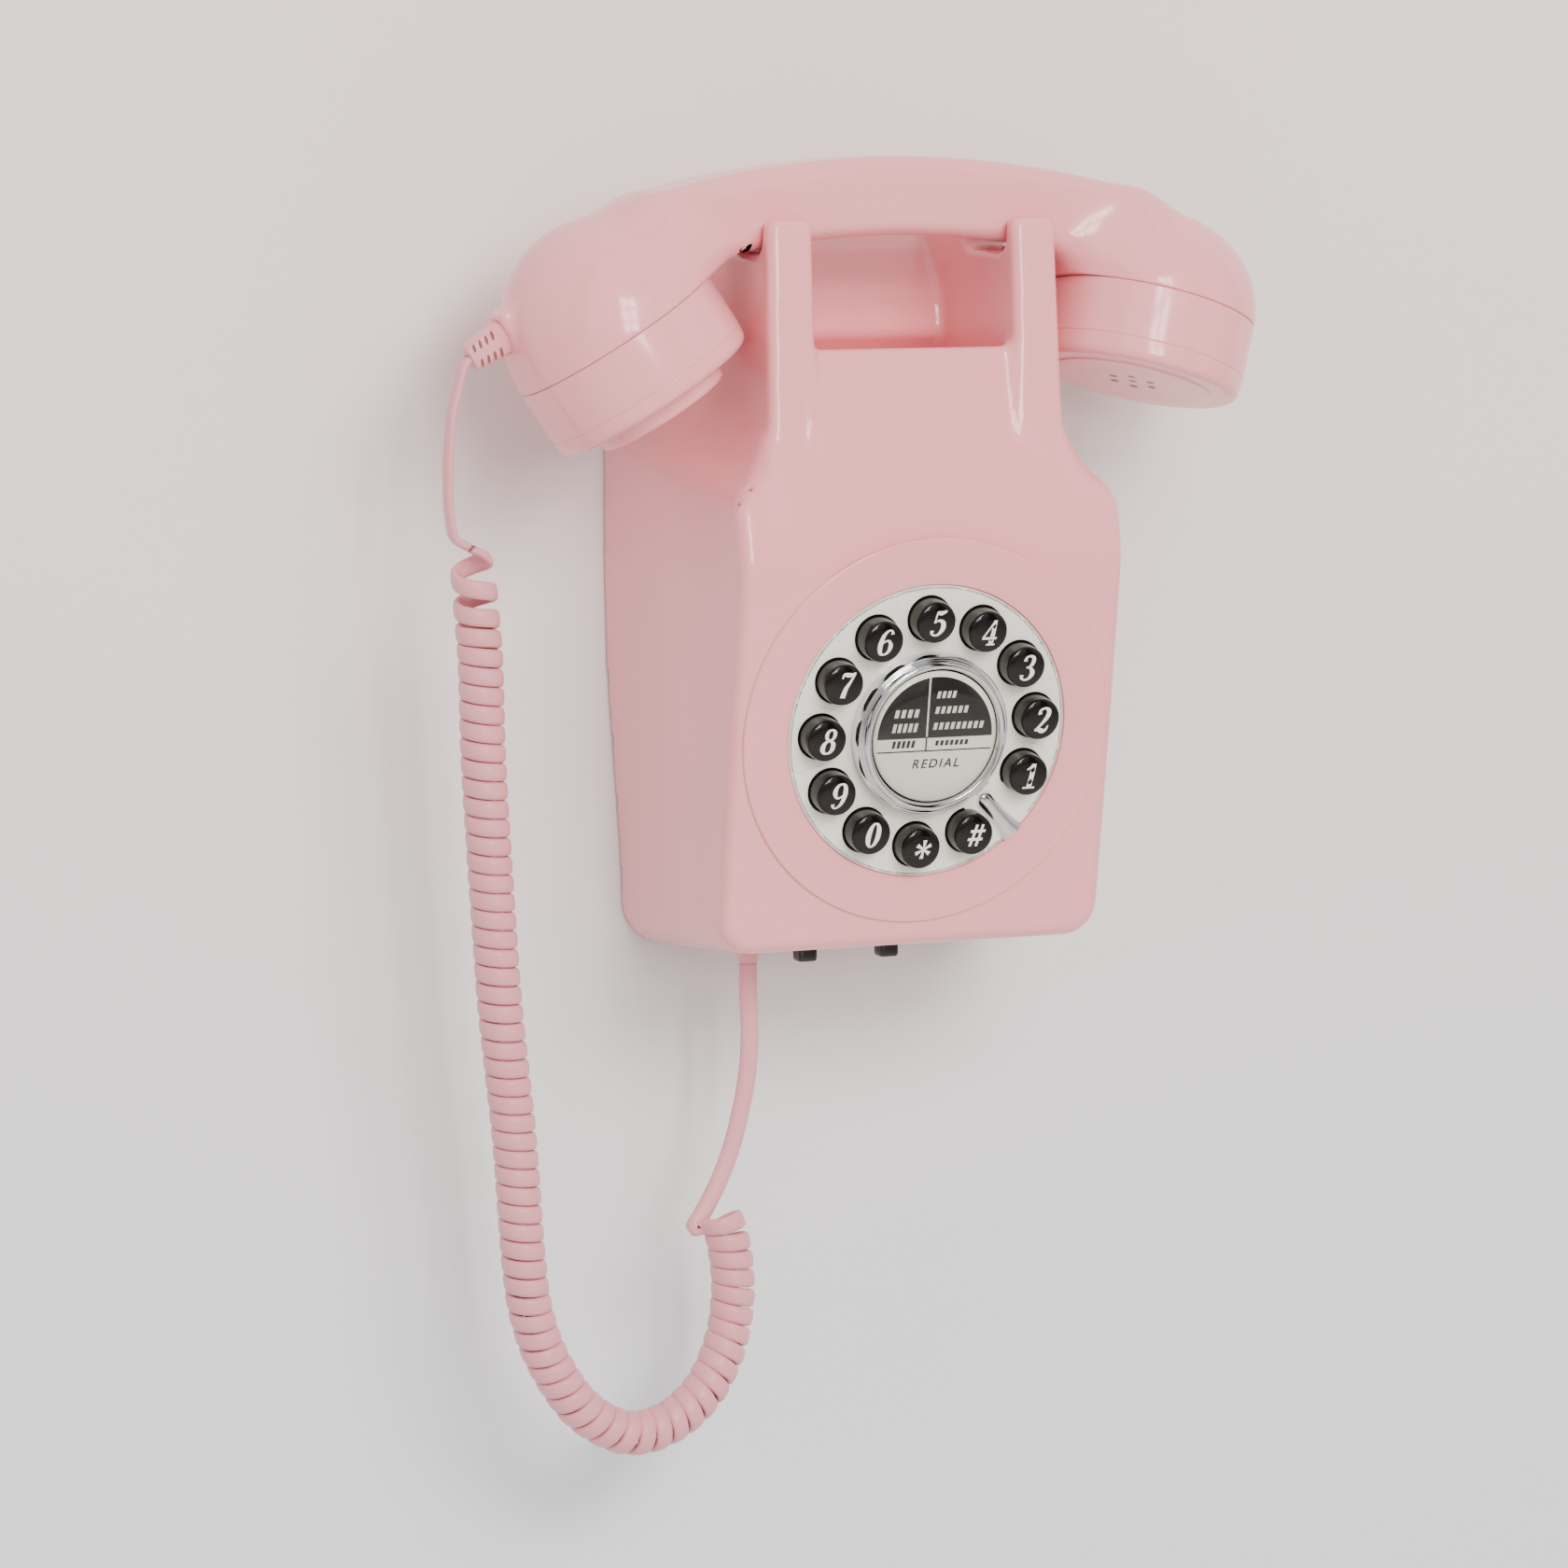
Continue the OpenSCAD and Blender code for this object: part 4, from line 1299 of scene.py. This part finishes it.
@dataclass
class Handset:
    """The curved handle with its two cups, their caps and the strain relief."""

    y: float = -55.0
    crown_r: float = 265.0
    crown_z: float = 152.0
    handle_t: float = 21.0
    handle_w: float = 24.0
    handle_a: float = 17.0
    cell: float = 1.15
    relief_start: tuple[float, float, float] = (-109.3, -55.0, 106.1)
    relief_way: tuple[float, float, float] = (-0.852, 0.0, -0.523)
    relief_len: float = 11.6
    relief_root: tuple[float, float] = (5.0, 3.6)
    relief_tip: tuple[float, float] = (3.7, 2.6)

    def distance(self, x: Array, y: Array, z: Array) -> Array:
        """Distance to the handle with its two cups, and the relief's collar.

        Args:
            x: First coordinates in the frame, in millimetres.
            y: Second coordinates.
            z: Third coordinates.

        Returns:
            The distances, negative inside.
        """
        cups = np.minimum(MOUTH.distance(x, y, z), EAR.distance(x, y, z))
        ax = np.abs(x)
        low = z - (self.crown_z - self.crown_r)
        rho, turn = np.hypot(x, low), np.abs(np.arctan2(x, low))
        grow = 2.0 * np.clip((ax - 36) / 40, 0, 1) ** 2
        across = np.abs(y - self.y) - (self.handle_w / 2 + grow)
        tall = np.abs(rho - self.crown_r + self.handle_t / 2) - self.handle_t / 2
        bar = round_max(across, tall, 5.5)
        bar = round_max(bar, (turn - math.radians(self.handle_a)) * rho, 9.0)
        s, d = np.array(self.relief_start), np.array(self.relief_way)
        p = [x - s[0], y - s[1], z - s[2]]
        along = p[0] * d[0] + p[1] * d[1] + p[2] * d[2]
        side = np.abs(p[0] * d[2] - p[2] * d[0])
        collar = round_max(np.maximum(np.abs(p[1]) - 5.0, side - 6.0),
                           np.maximum(along - 0.2, -along - 8), 1.2)
        body = round_min(cups, bar, 12.0)
        return round_min(body, collar, 1.5)

    def shell(self) -> bpy.types.Object:
        """Makes the shell: the level surface, cut clean at each cup's parting plane.

        Returns:
            The shell's piece.
        """
        points, quads = level_surface(self.distance, (-113, -88, 74), (111, -22, 155), self.cell)
        piece = make_piece("handset_body", points, quads, finish(Finish.CASE))
        work = bmesh.new()
        work.from_mesh(piece.data)
        for cup in (MOUTH, EAR):
            centre, normal = cup.middle() * MM, cup.axes()[2]
            edge = (cup.x - cup.r - 4) * MM
            near = [f for f in work.faces if f.calc_center_median().x * cup.side > edge]
            geometry = list({v for f in near for v in f.verts}
                            | {e for f in near for e in f.edges} | set(near))
            bmesh.ops.bisect_plane(work, geom=geometry, plane_co=centre.tolist(),
                                   plane_no=normal.tolist(), clear_inner=True, dist=1e-7)
            rim = [e for e in work.edges if e.is_boundary and e.verts[0].co.x * cup.side > edge]
            for shrink, lift in ((0.25, -0.1), (1.6, 0.0)):
                made = bmesh.ops.extrude_edge_only(work, edges=rim)["geom"]
                for v in (g for g in made if isinstance(g, bmesh.types.BMVert)):
                    flat = np.array(v.co) - centre
                    out = flat / np.linalg.norm(flat)
                    v.co = np.array(v.co) - out * shrink * MM + normal * lift * MM
                rim = [g for g in made if isinstance(g, bmesh.types.BMEdge)]
            bmesh.ops.contextual_create(work, geom=rim)
        bmesh.ops.recalc_face_normals(work, faces=work.faces)
        work.to_mesh(piece.data)
        work.free()
        piece.data.polygons.foreach_set("use_smooth", [True] * len(piece.data.polygons))
        return settle_in(piece, "handset", "handset_pink", "handset_shell")

    def relief_half(self, t: float) -> tuple[float, float]:
        """Half the strain relief's width and depth at a share of its length."""
        (v0, y0), (v1, y1) = self.relief_root, self.relief_tip
        return v0 * (1 - t) + v1 * t, y0 * (1 - t) + y1 * t

    def relief(self) -> bpy.types.Object:
        """Makes the strain relief: a flat tapered sleeve with two rows of slots, each a flat dark
        pink patch of painted shade.

        Its section at height h is a rounded box that narrows from 10 by 7 to 7.4 by 5.2.

        Returns:
            The strain relief's piece.
        """
        s, d = np.array(self.relief_start), np.array(self.relief_way)
        v, out = np.array([d[2], 0.0, -d[0]]), np.array([0.0, 1.0, 0.0])
        levels = rounded([(0, -3), (1, -3), (1, self.relief_len), (0, self.relief_len)],
                         [0, 0, 0.8, 0], 6)
        c, e = squarish(40, 0.6)
        rows = []
        for share, h in levels:
            half_v, half_y = self.relief_half(np.clip(h / self.relief_len, -0.3, 1))
            rows.append(s + h * d + (c * (half_v * share))[:, None] * v
                        + (e * (half_y * share))[:, None] * out)
        # Each slot is a flat patch in the dark slot finish laid on the sleeve's face: painted
        # shade, not an opening.
        slots = []
        a = np.linspace(0, 2 * math.pi, 20, endpoint=False)
        for k in range(4):
            h = 3.7 + 1.95 * k
            half_v, half_y = self.relief_half(h / self.relief_len)
            for low, high in ((-0.86, -0.3), (0.25, 0.8)):
                z = (low + high) / 2 * half_v
                cv = z + (high - low) / 2 * half_v * np.cos(a)
                ch = h + 0.42 * np.sin(a) - 0.25 * (cv - z)
                lift = -half_y - 0.04 + 0.5 * (np.abs(cv) / half_v) ** 4
                slots.append((s + ch[:, None] * d + cv[:, None] * v + lift[:, None] * out,
                              [list(range(20))], finish(Finish.SHADE)))
        piece = make_piece("strain_sleeve", np.vstack(rows),
                           grid_faces(len(levels), len(c), around=True), finish(Finish.RELIEF),
                           merge=1e-3, extra=slots)
        return settle_in(piece, "handset", "relief_pink", "strain_relief")

    def build(self) -> None:
        """Makes the shell and the caps."""
        self.shell()
        MOUTH.cap()
        EAR.cap()


# ----------------------------------------------------------------------------------------
# The dial
# ----------------------------------------------------------------------------------------


# The front panel's outward normal.
OUTWARD = (0.0, -0.988, -0.156)


def loop(cx: float, cy: float, rx: float, ry: float, thin: float, thick: float) -> list:
    """A closed pen stroke round an oval: thick at its sides and thin at top and bottom.

    Args:
        cx: The place of its middle across.
        cy: The place of its middle up.
        rx: Half its width.
        ry: Half its height.
        thin: The pen's least width.
        thick: The pen's greatest width.

    Returns:
        The stroke's points, each with the pen's width.
    """
    return [(cx + rx * math.cos(a), cy + ry * math.sin(a),
             thin + (thick - thin) * abs(math.cos(a)) ** 1.5)
            for a in np.linspace(0, 2 * math.pi, 17)]


# The characters' pen strokes, in heights of a digit: x, y and the pen's width at each point.
STROKES: dict[str, list[list[tuple[float, float, float]]]] = {
    "1": [[(0.33, 0.02, 0.21), (0.33, 0.98, 0.19)],
          [(0.08, 0.76, 0.06), (0.2, 0.83, 0.09), (0.31, 0.96, 0.1)],
          [(0.08, 0.03, 0.07), (0.58, 0.03, 0.07)]],
    "2": [[(0.13, 0.73, 0.17), (0.12, 0.88, 0.1), (0.3, 0.97, 0.08), (0.48, 0.86, 0.17),
           (0.48, 0.66, 0.19), (0.34, 0.42, 0.13), (0.12, 0.13, 0.09)],
          [(0.06, 0.09, 0.08), (0.2, 0.13, 0.15), (0.38, 0.06, 0.18), (0.52, 0.1, 0.11),
           (0.58, 0.28, 0.05)]],
    "3": [[(0.12, 0.77, 0.16), (0.14, 0.91, 0.09), (0.3, 0.97, 0.08), (0.46, 0.87, 0.15),
           (0.44, 0.65, 0.16), (0.32, 0.54, 0.07), (0.22, 0.52, 0.06)],
          [(0.24, 0.53, 0.06), (0.4, 0.49, 0.1), (0.53, 0.28, 0.2), (0.43, 0.08, 0.12),
           (0.26, 0.03, 0.07), (0.12, 0.1, 0.09), (0.11, 0.22, 0.16)]],
    "4": [[(0.42, 0.02, 0.2), (0.42, 0.98, 0.14)], [(0.4, 0.96, 0.07), (0.04, 0.3, 0.07)],
          [(0.02, 0.28, 0.09), (0.62, 0.28, 0.09)], [(0.24, 0.03, 0.06), (0.6, 0.03, 0.06)]],
    "5": [[(0.15, 0.94, 0.09), (0.32, 0.9, 0.16), (0.54, 0.97, 0.08)],
          [(0.16, 0.95, 0.06), (0.12, 0.52, 0.06)],
          [(0.12, 0.53, 0.06), (0.28, 0.62, 0.08), (0.48, 0.52, 0.17), (0.52, 0.28, 0.2),
           (0.39, 0.07, 0.11), (0.24, 0.03, 0.07), (0.11, 0.1, 0.09), (0.1, 0.22, 0.16)]],
    "6": [[(0.49, 0.82, 0.15), (0.46, 0.93, 0.08), (0.32, 0.97, 0.07), (0.14, 0.78, 0.15),
           (0.08, 0.4, 0.2), (0.15, 0.11, 0.14), (0.3, 0.03, 0.07), (0.46, 0.12, 0.13),
           (0.52, 0.32, 0.18), (0.45, 0.51, 0.12), (0.32, 0.58, 0.07), (0.18, 0.5, 0.07)]],
    "7": [[(0.08, 0.78, 0.06), (0.12, 0.94, 0.1), (0.28, 0.92, 0.17), (0.44, 0.92, 0.14),
           (0.6, 0.98, 0.07)],
          [(0.58, 0.95, 0.07), (0.44, 0.66, 0.11), (0.31, 0.36, 0.18), (0.27, 0.02, 0.21)]],
    "8": [loop(0.32, 0.76, 0.17, 0.2, 0.07, 0.15), loop(0.31, 0.28, 0.21, 0.25, 0.07, 0.19)],
    "0": [loop(0.31, 0.5, 0.2, 0.46, 0.07, 0.21)],
    "*": [[(0.31, 0.16, 0.15), (0.31, 0.5, 0.06), (0.31, 0.84, 0.15)],
          [(0.04, 0.34, 0.15), (0.31, 0.5, 0.06), (0.58, 0.66, 0.15)],
          [(0.04, 0.66, 0.15), (0.31, 0.5, 0.06), (0.58, 0.34, 0.15)]],
    "#": [[(0.16, 0.1, 0.1), (0.26, 0.9, 0.1)], [(0.4, 0.1, 0.1), (0.5, 0.9, 0.1)],
          [(0.02, 0.36, 0.1), (0.6, 0.36, 0.1)], [(0.06, 0.66, 0.1), (0.64, 0.66, 0.1)]],
}
STROKES["9"] = [[(0.62 - x, 1 - y, w) for x, y, w in path] for path in STROKES["6"]]


def character(text: str, height: float, slant: float = 0.2) -> tuple[Array, list[list[int]]]:
    """A character drawn with a broad pen: flat ribbons along its smooth strokes.

    Args:
        text: The character.
        height: Its height in millimetres.
        slant: How far its top leans to the right.

    Returns:
        Points of x and y round the character's middle, and the quads.
    """
    points, faces, start = [], [], 0
    for path in STROKES[text]:
        line = smooth_route(path, 0.04) if len(path) > 2 else np.array(
            [np.array(path[0]) * (1 - t) + np.array(path[1]) * t for t in (0, 0.5, 1)])
        way = unit(np.gradient(line[:, :2], axis=0))
        square = np.stack([-way[:, 1], way[:, 0]], axis=1)
        left = line[:, :2] + square * line[:, 2:] / 2
        right = line[:, :2] - square * line[:, 2:] / 2
        points.append(np.stack([left, right], axis=1).reshape(-1, 2))
        faces += (grid_faces(len(line), 2) + start).tolist()
        start += 2 * len(line)
    flat = np.vstack(points)
    flat[:, 0] += slant * (flat[:, 1] - 0.5) - 0.31
    flat[:, 1] -= 0.5
    return flat * height, [[a, b, c, d] for a, b, c, d in faces]


@dataclass
class Dial:
    """The round dial: bezel, plate, twelve keys, chrome ring, redial button and stop."""

    panel: Panel = field(default_factory=Panel)
    bezel_r: float = 53.0
    disc_r: float = 40.0
    key_ring_r: float = 31.1
    key_r: float = 6.0
    key_h: float = 6.2
    key_a0: float = -23.0
    key_step: float = 29.0
    hole_r: float = 6.3
    stop_a: float = 313.0
    card_w: float = 5.4
    rays: int = 72
    keys: tuple[str, ...] = ("1", "2", "3", "4", "5", "6", "7", "8", "9", "0", "*", "#")

    def turned(self, profile: Array, around: int = 160) -> tuple[Array, Array]:
        """A profile turned about the dial's axis and put on the panel."""
        points, quads = revolve(profile, around)
        return self.panel.place(points), quads

    def bezel(self) -> None:
        """Makes the bezel: a flat pink ring with rounded edges."""
        profile = rounded([(38.6, -0.7), (40.2, -0.7), (40.2, 0.8), (self.bezel_r - 0.1, 0.8),
                           (self.bezel_r, -0.3), (self.bezel_r - 1, -1.2), (38.6, -1.2),
                           (38.6, -0.7)], [0, 0, 0.35, 0.7, 0, 0, 0, 0], 6)
        points, quads = self.turned(profile)
        piece = make_piece("dial_ring", points, quads, finish(Finish.CASE), merge=1e-3)
        settle_in(piece, "root", "case_pink", "dial_bezel")

    def plate(self) -> None:
        """Makes the cream plate with its holes.

        Each key's sector is a patch whose rows go from the hole's circle to the sector's
        edge; point s of row b lies at (1 - s) hole(b) + s edge(b). The last narrow sector,
        under the stop, and the middle are plain.
        """
        low, top, inner = -0.6, 0.5, 22.0
        half = math.radians(self.key_step / 2)
        parts = []
        b = np.linspace(0, 2 * math.pi, self.rays, endpoint=False)
        way = np.stack([np.cos(b), np.sin(b)], axis=1)
        centre = self.key_ring_r * np.array([1.0, 0.0])
        rays = centre + np.linspace(self.hole_r, 24, 300)[None, :, None] * way[:, None]
        r = np.hypot(rays[..., 0], rays[..., 1])
        a = np.arctan2(rays[..., 1], rays[..., 0])
        inside = (r < self.disc_r - 0.25) & (r > inner) & (np.abs(a) < half)
        edge = rays[np.arange(self.rays), np.argmin(inside, axis=1) - 1]
        hole = centre + self.hole_r * way
        rows = [(hole, low), (hole, top - 0.15), (hole + 0.15 * way, top)]
        rows += [(hole * (1 - s) + edge * s, top) for s in (0.35, 0.7, 1.0)]
        for k in range(len(self.keys)):
            a0 = math.radians(self.key_a0 + k * self.key_step)
            flat = np.array([[p @ [math.cos(a0), -math.sin(a0)], p @ [math.sin(a0), math.cos(a0)],
                              w] for row, w in rows for p in row])
            parts.append((flat, grid_faces(len(rows), self.rays, around=True)))
        parts.append(revolve(np.array([(self.disc_r - 0.9, top), (self.disc_r - 0.2, top),
                                       (self.disc_r, top - 0.2), (self.disc_r, low)]), 240))
        under, quads = revolve(np.array([(18.6, top - 0.02), (self.disc_r - 0.3, top - 0.02)]), 240)
        stop = math.radians(self.stop_a)
        angle = np.abs((np.arctan2(under[:, 1], under[:, 0]) - stop + math.pi) % (2 * math.pi)
                       - math.pi)
        keep = (angle[quads] < half).all(axis=1)
        parts.append((under, quads[keep]))
        parts.append(revolve(np.array([(18.6, top - 0.02), (24.4, top - 0.02)]), 160))
        first, *rest = parts
        material = finish(Finish.DISC)
        piece = make_piece("dial_disc", self.panel.place(first[0]), first[1], material,
                           smooth=False,
                           extra=[(self.panel.place(p), f, material) for p, f in rest])
        face_towards(piece, OUTWARD)
        settle_in(piece, "root", "disc_cream", "dial_plate")

    def key(self, k: int) -> None:
        """Makes a key: a domed black cap with its white character.

        Args:
            k: The key's number from the right.
        """
        r, h = self.key_r, self.key_h
        crown = [(r * t, h - 0.5 * t**2) for t in (0.0, 0.15, 0.3, 0.45, 0.6, 0.7)]
        profile = np.vstack([crown, rounded([(r * 0.76, h - 0.3), (r - 0.45, h - 0.75),
                                             (r - 0.05, -0.8)], [0, 1.4, 0], 8)[1:]])
        points, quads = revolve(profile, 72)
        flat, faces = character(self.keys[k], 6.9 if self.keys[k] not in "*#" else 7.4)
        flat[:, 0] += 0.3
        far = np.hypot(flat[:, 0], flat[:, 1])
        lift = h - 0.5 * (far / r) ** 2 + 0.04
        a = math.radians(self.key_a0 + k * self.key_step)
        at = np.array([self.key_ring_r * math.cos(a), self.key_ring_r * math.sin(a), 0.0])
        ink = np.column_stack([flat, lift]) + at
        name = {"*": "star", "#": "hash"}.get(self.keys[k], self.keys[k])
        piece = make_piece(f"button_{name}", self.panel.place(points + at), quads,
                           finish(Finish.KEY), merge=1e-3,
                           extra=[(self.panel.place(ink), faces, finish(Finish.INK_WHITE))])
        settle_in(piece, f"key_{name}", "key_black", f"key_{name}")

    def ring(self) -> None:
        """Makes the chrome ring: a wide outer bead, a thin inner one and a steep inside."""
        profile = rounded([(22.0, 0.5), (22.0, 3.1), (21.6, 4.9), (20.55, 4.5), (20.35, 6.2),
                           (19.6, 6.75), (18.7, 6.5), (18.15, 5.2), (18.1, 2.0)],
                          [0, 0.8, 0.9, 0.25, 0.5, 0.7, 0.6, 0.3, 0], 6)
        points, quads = self.turned(profile, 192)
        piece = make_piece("centre_ring", points, quads, finish(Finish.CHROME))
        settle_in(piece, "root", "chrome", "chrome_ring")

    def bar(self, x0: float, y0: float, x1: float, y1: float, ink: bpy.types.Material,
            lean: float = 0.0) -> tuple[Array, list[list[int]], bpy.types.Material]:
        """A printed bar on the card.

        Args:
            x0: Its left side.
            y0: Its foot.
            x1: Its right side.
            y1: Its top.
            ink: Its finish.
            lean: How far it leans to the right, as a share of its height.

        Returns:
            Its points in the frame, its face and its finish.
        """
        w, shift = self.card_w + 0.16, lean * (y1 - y0)
        flat = np.array([(x0, y0, w), (x1, y0, w), (x1 + shift, y1, w), (x0 + shift, y1, w)])
        return self.panel.place(flat), [[0, 1, 2, 3]], ink

    def card(self) -> None:
        """Makes the printed card: a dark upper half, and rows of short bars for words."""
        t = self.card_w
        white, black = finish(Finish.INK_WHITE), finish(Finish.INK_BLACK)
        a = np.linspace(0, math.pi, 60)
        dark = np.column_stack([16.7 * np.cos(a), 16.7 * np.sin(a) - 0.4, t + 0.13 + 0 * a])
        extra = [(self.panel.place(dark), [list(range(60))], black),
                 self.bar(-2.6, 0, -2.1, 16.6, white)]
        rows = [(white, 1.7, row) for row in (
            (-12.2, -4.6, 5.4, 2.2), (-12.6, -4.9, 1.4, 2.4), (-0.2, 5.8, 10.4, 1.9),
            (-0.4, 9.6, 6.2, 1.9), (-0.7, 14.4, 1.8, 1.9))]
        rows += [(black, 1.4, row) for row in ((-12.4, -5.4, -2.9, 2.0), (0.2, 10.2, -2.6, 1.4))]
        for ink, pitch, (x0, x1, y0, tall) in rows:
            count = max(2, round((x1 - x0) / pitch))
            step = (x1 - x0) / count
            extra += [self.bar(x0 + k * step, y0, x0 + (k + 0.62) * step, y0 + tall, ink, 0.2)
                      for k in range(count)]
        extra += [self.bar(-16.6, -4.1, 16.6, -3.75, black),
                  self.bar(-2.6, -3.8, -2.15, 0.0, black),
                  (*self.word("REDIAL", 0.6, -8.6, 2.5), black)]
        points, quads = self.turned(np.array([(0, t + 0.1), (17.9, t + 0.1), (17.9, t - 0.05)]))
        card = make_piece("printed_card", points, quads, finish(Finish.CARD), smooth=False,
                          extra=extra)
        face_towards(card, OUTWARD)
        settle_in(card, "redial_button", "label_card", "label_card")

    def centre(self) -> None:
        """Makes the redial button: its black cap, printed card and clear lens."""
        t = self.card_w
        points, quads = self.turned(np.array([(0, t - 0.1), (17.95, t - 0.1), (18, -0.8)]))
        cap = make_piece("redial_button_cap", points, quads, finish(Finish.KEY), merge=1e-3)
        settle_in(cap, "redial_button", "key_black", "redial_cap")
        self.card()
        dome = np.array([(17.9 * math.sin(q), t + 0.4 + 1.9 * math.cos(q))
                         for q in np.linspace(0, math.pi / 2, 20)])
        points, quads = self.turned(dome)
        lens = make_piece("clear_lens", points, quads, finish(Finish.LENS), merge=1e-3)
        settle_in(lens, "redial_button", "lens_clear", "redial_lens")

    def word(self, text: str, x: float, y: float, height: float) -> tuple[Array, list]:
        """A word in slanted plain letters, spaced out.

        Args:
            text: The word.
            x: The place of its middle.
            y: The place of its foot.
            height: The height of its capitals.

        Returns:
            Its points in the frame and its faces.
        """
        curve = bpy.data.curves.new(text, "FONT")
        curve.body = text
        curve.size = height / 0.73
        curve.space_character = 1.3
        curve.shear = 0.25
        curve.offset = 0.05
        curve.align_x = "CENTER"
        holder = bpy.data.objects.new(text, curve)
        bpy.context.scene.collection.objects.link(holder)
        bpy.context.view_layer.update()
        mesh = bpy.data.meshes.new_from_object(holder)
        flat = np.array([tuple(v.co) for v in mesh.vertices])
        faces = [list(p.vertices) for p in mesh.polygons]
        bpy.data.objects.remove(holder)
        bpy.data.meshes.remove(mesh)
        return self.panel.place(flat * [1, 1, 0] + [x, y, self.card_w + 0.16]), faces

    def stop(self) -> None:
        """Makes the finger stop: a low chrome tongue that narrows from the disc's edge inwards.

        Point (s, b) lies at distance r(s) along the radius, b half widths to the side, and
        stands (1 - |b|^3) of the tongue's height above the disc.
        """
        line = smooth_route([(39.8, 3.4, 1.75), (38.5, 3.15, 1.8), (36.5, 2.75, 1.8),
                             (33, 2.35, 1.8), (29.5, 2.3, 1.8), (27.2, 2.38, 1.8)], 0.4)
        tip = [(27.1 - 2.4 * math.sin(q), max(2.4 * math.cos(q), 0.02), 1.8 * math.cos(q) ** 0.35)
               for q in np.linspace(0.05, math.pi / 2 - 0.01, 14)]
        b = np.linspace(-1, 1, 25)
        rows = [np.stack([0 * b + r, b * half, 0.5 + 0.02 + tall * (1 - np.abs(b) ** 3) ** 0.7],
                         axis=1) for r, half, tall in [*line.tolist(), *tip]]
        points = np.vstack(rows)
        a = math.radians(self.stop_a)
        x = points[:, 0] * math.cos(a) - points[:, 1] * math.sin(a)
        y = points[:, 0] * math.sin(a) + points[:, 1] * math.cos(a)
        points = self.panel.place(np.stack([x, y, points[:, 2]], axis=1))
        piece = make_piece("stop_tongue", points, grid_faces(len(rows), 25),
                           finish(Finish.CHROME), merge=1e-3)
        face_towards(piece, OUTWARD)
        settle_in(piece, "root", "chrome", "finger_stop")

    def build(self) -> None:
        """Makes every part of the dial."""
        self.bezel()
        self.plate()
        for k in range(len(self.keys)):
            self.key(k)
        self.ring()
        self.centre()
        self.stop()


# ----------------------------------------------------------------------------------------
# The parts that stay as the frame has them
# ----------------------------------------------------------------------------------------

KEPT: dict[str, tuple[Finish, str]] = {
    "base_plate": (Finish.BASE, "base_black"), "keypad_membrane": (Finish.RUBBER, "membrane_grey"),
    "keypad_board": (Finish.BOARD, "board_green"), "board_screws": (Finish.STEEL, "steel"),
    "main_board": (Finish.BOARD, "board_green"), "hook_switch": (Finish.NYLON, "part_black"),
    "ringer_speaker": (Finish.STEEL, "steel"), "line_terminals": (Finish.NYLON, "part_black"),
    "volume_switch": (Finish.NYLON, "part_black"), "tone_switch": (Finish.NYLON, "part_black"),
    "case_screws": (Finish.STEEL, "steel"), "cord_gland": (Finish.RELIEF, "relief_pink"),
    "hook_plunger": (Finish.CASE, "case_pink"), "hook_spring": (Finish.STEEL, "steel"),
    "microphone": (Finish.NYLON, "part_black"), "receiver": (Finish.NYLON, "part_black"),
    "handset_weight": (Finish.STEEL, "steel"),
}


def slide_knobs() -> None:
    """Makes the two slide knobs: blocks with softened edges, each on a round pin.

    Point (s, b) of a block is its rounded outline at b, drawn in near its ends.
    """
    c, e = squarish(48, 0.35)
    for name, x in (("volume_knob", -24.0), ("tone_knob", 0.0)):
        rows = [np.stack([x + 2.79 * k * c, -56 + 2.59 * k * e, z + 0 * c], axis=1)
                for k, z in ((0.0, -63.95), (0.84, -63.95), (0.93, -63.75), (0.99, -63.2),
                             (1.0, -62.4), (1.0, -57.3), (0.0, -57.3))]
        pin = [np.stack([x + 1.15 * c, -56 + 1.15 * e, z + 0 * c], axis=1) for z in (-57.3, -52.4)]
        black = finish(Finish.KNOB)
        piece = make_piece(name + "_cap", np.vstack(rows),
                           grid_faces(len(rows), len(c), around=True), black, merge=1e-3,
                           extra=[(np.vstack(pin), grid_faces(2, len(c), around=True), black)])
        settle_in(piece, name.replace("knob", "slider"), "knob_black", name)


def dress_kept_nodes() -> None:
    """Gives each node that shows as it is its own finish."""
    for name, (kind, slot) in KEPT.items():
        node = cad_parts[name]
        node.data.materials.clear()
        node.data.materials.append(finish(kind))


def main() -> None:
    """Builds the telephone, piece by piece."""
    logging.basicConfig(level=logging.INFO, format="%(name)s: %(message)s", stream=sys.stdout)
    studio = Studio()
    studio.camera()
    cord = HandsetCord()
    flex = cord.build()
    handset = Handset()
    sleeve = handset.relief()
    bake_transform(flex)
    FrontCase().build()
    handset.build()
    Dial().build()
    slide_knobs()
    dress_kept_nodes()
    studio.room()
    studio.lights()


if __name__ == "__main__":
    main()
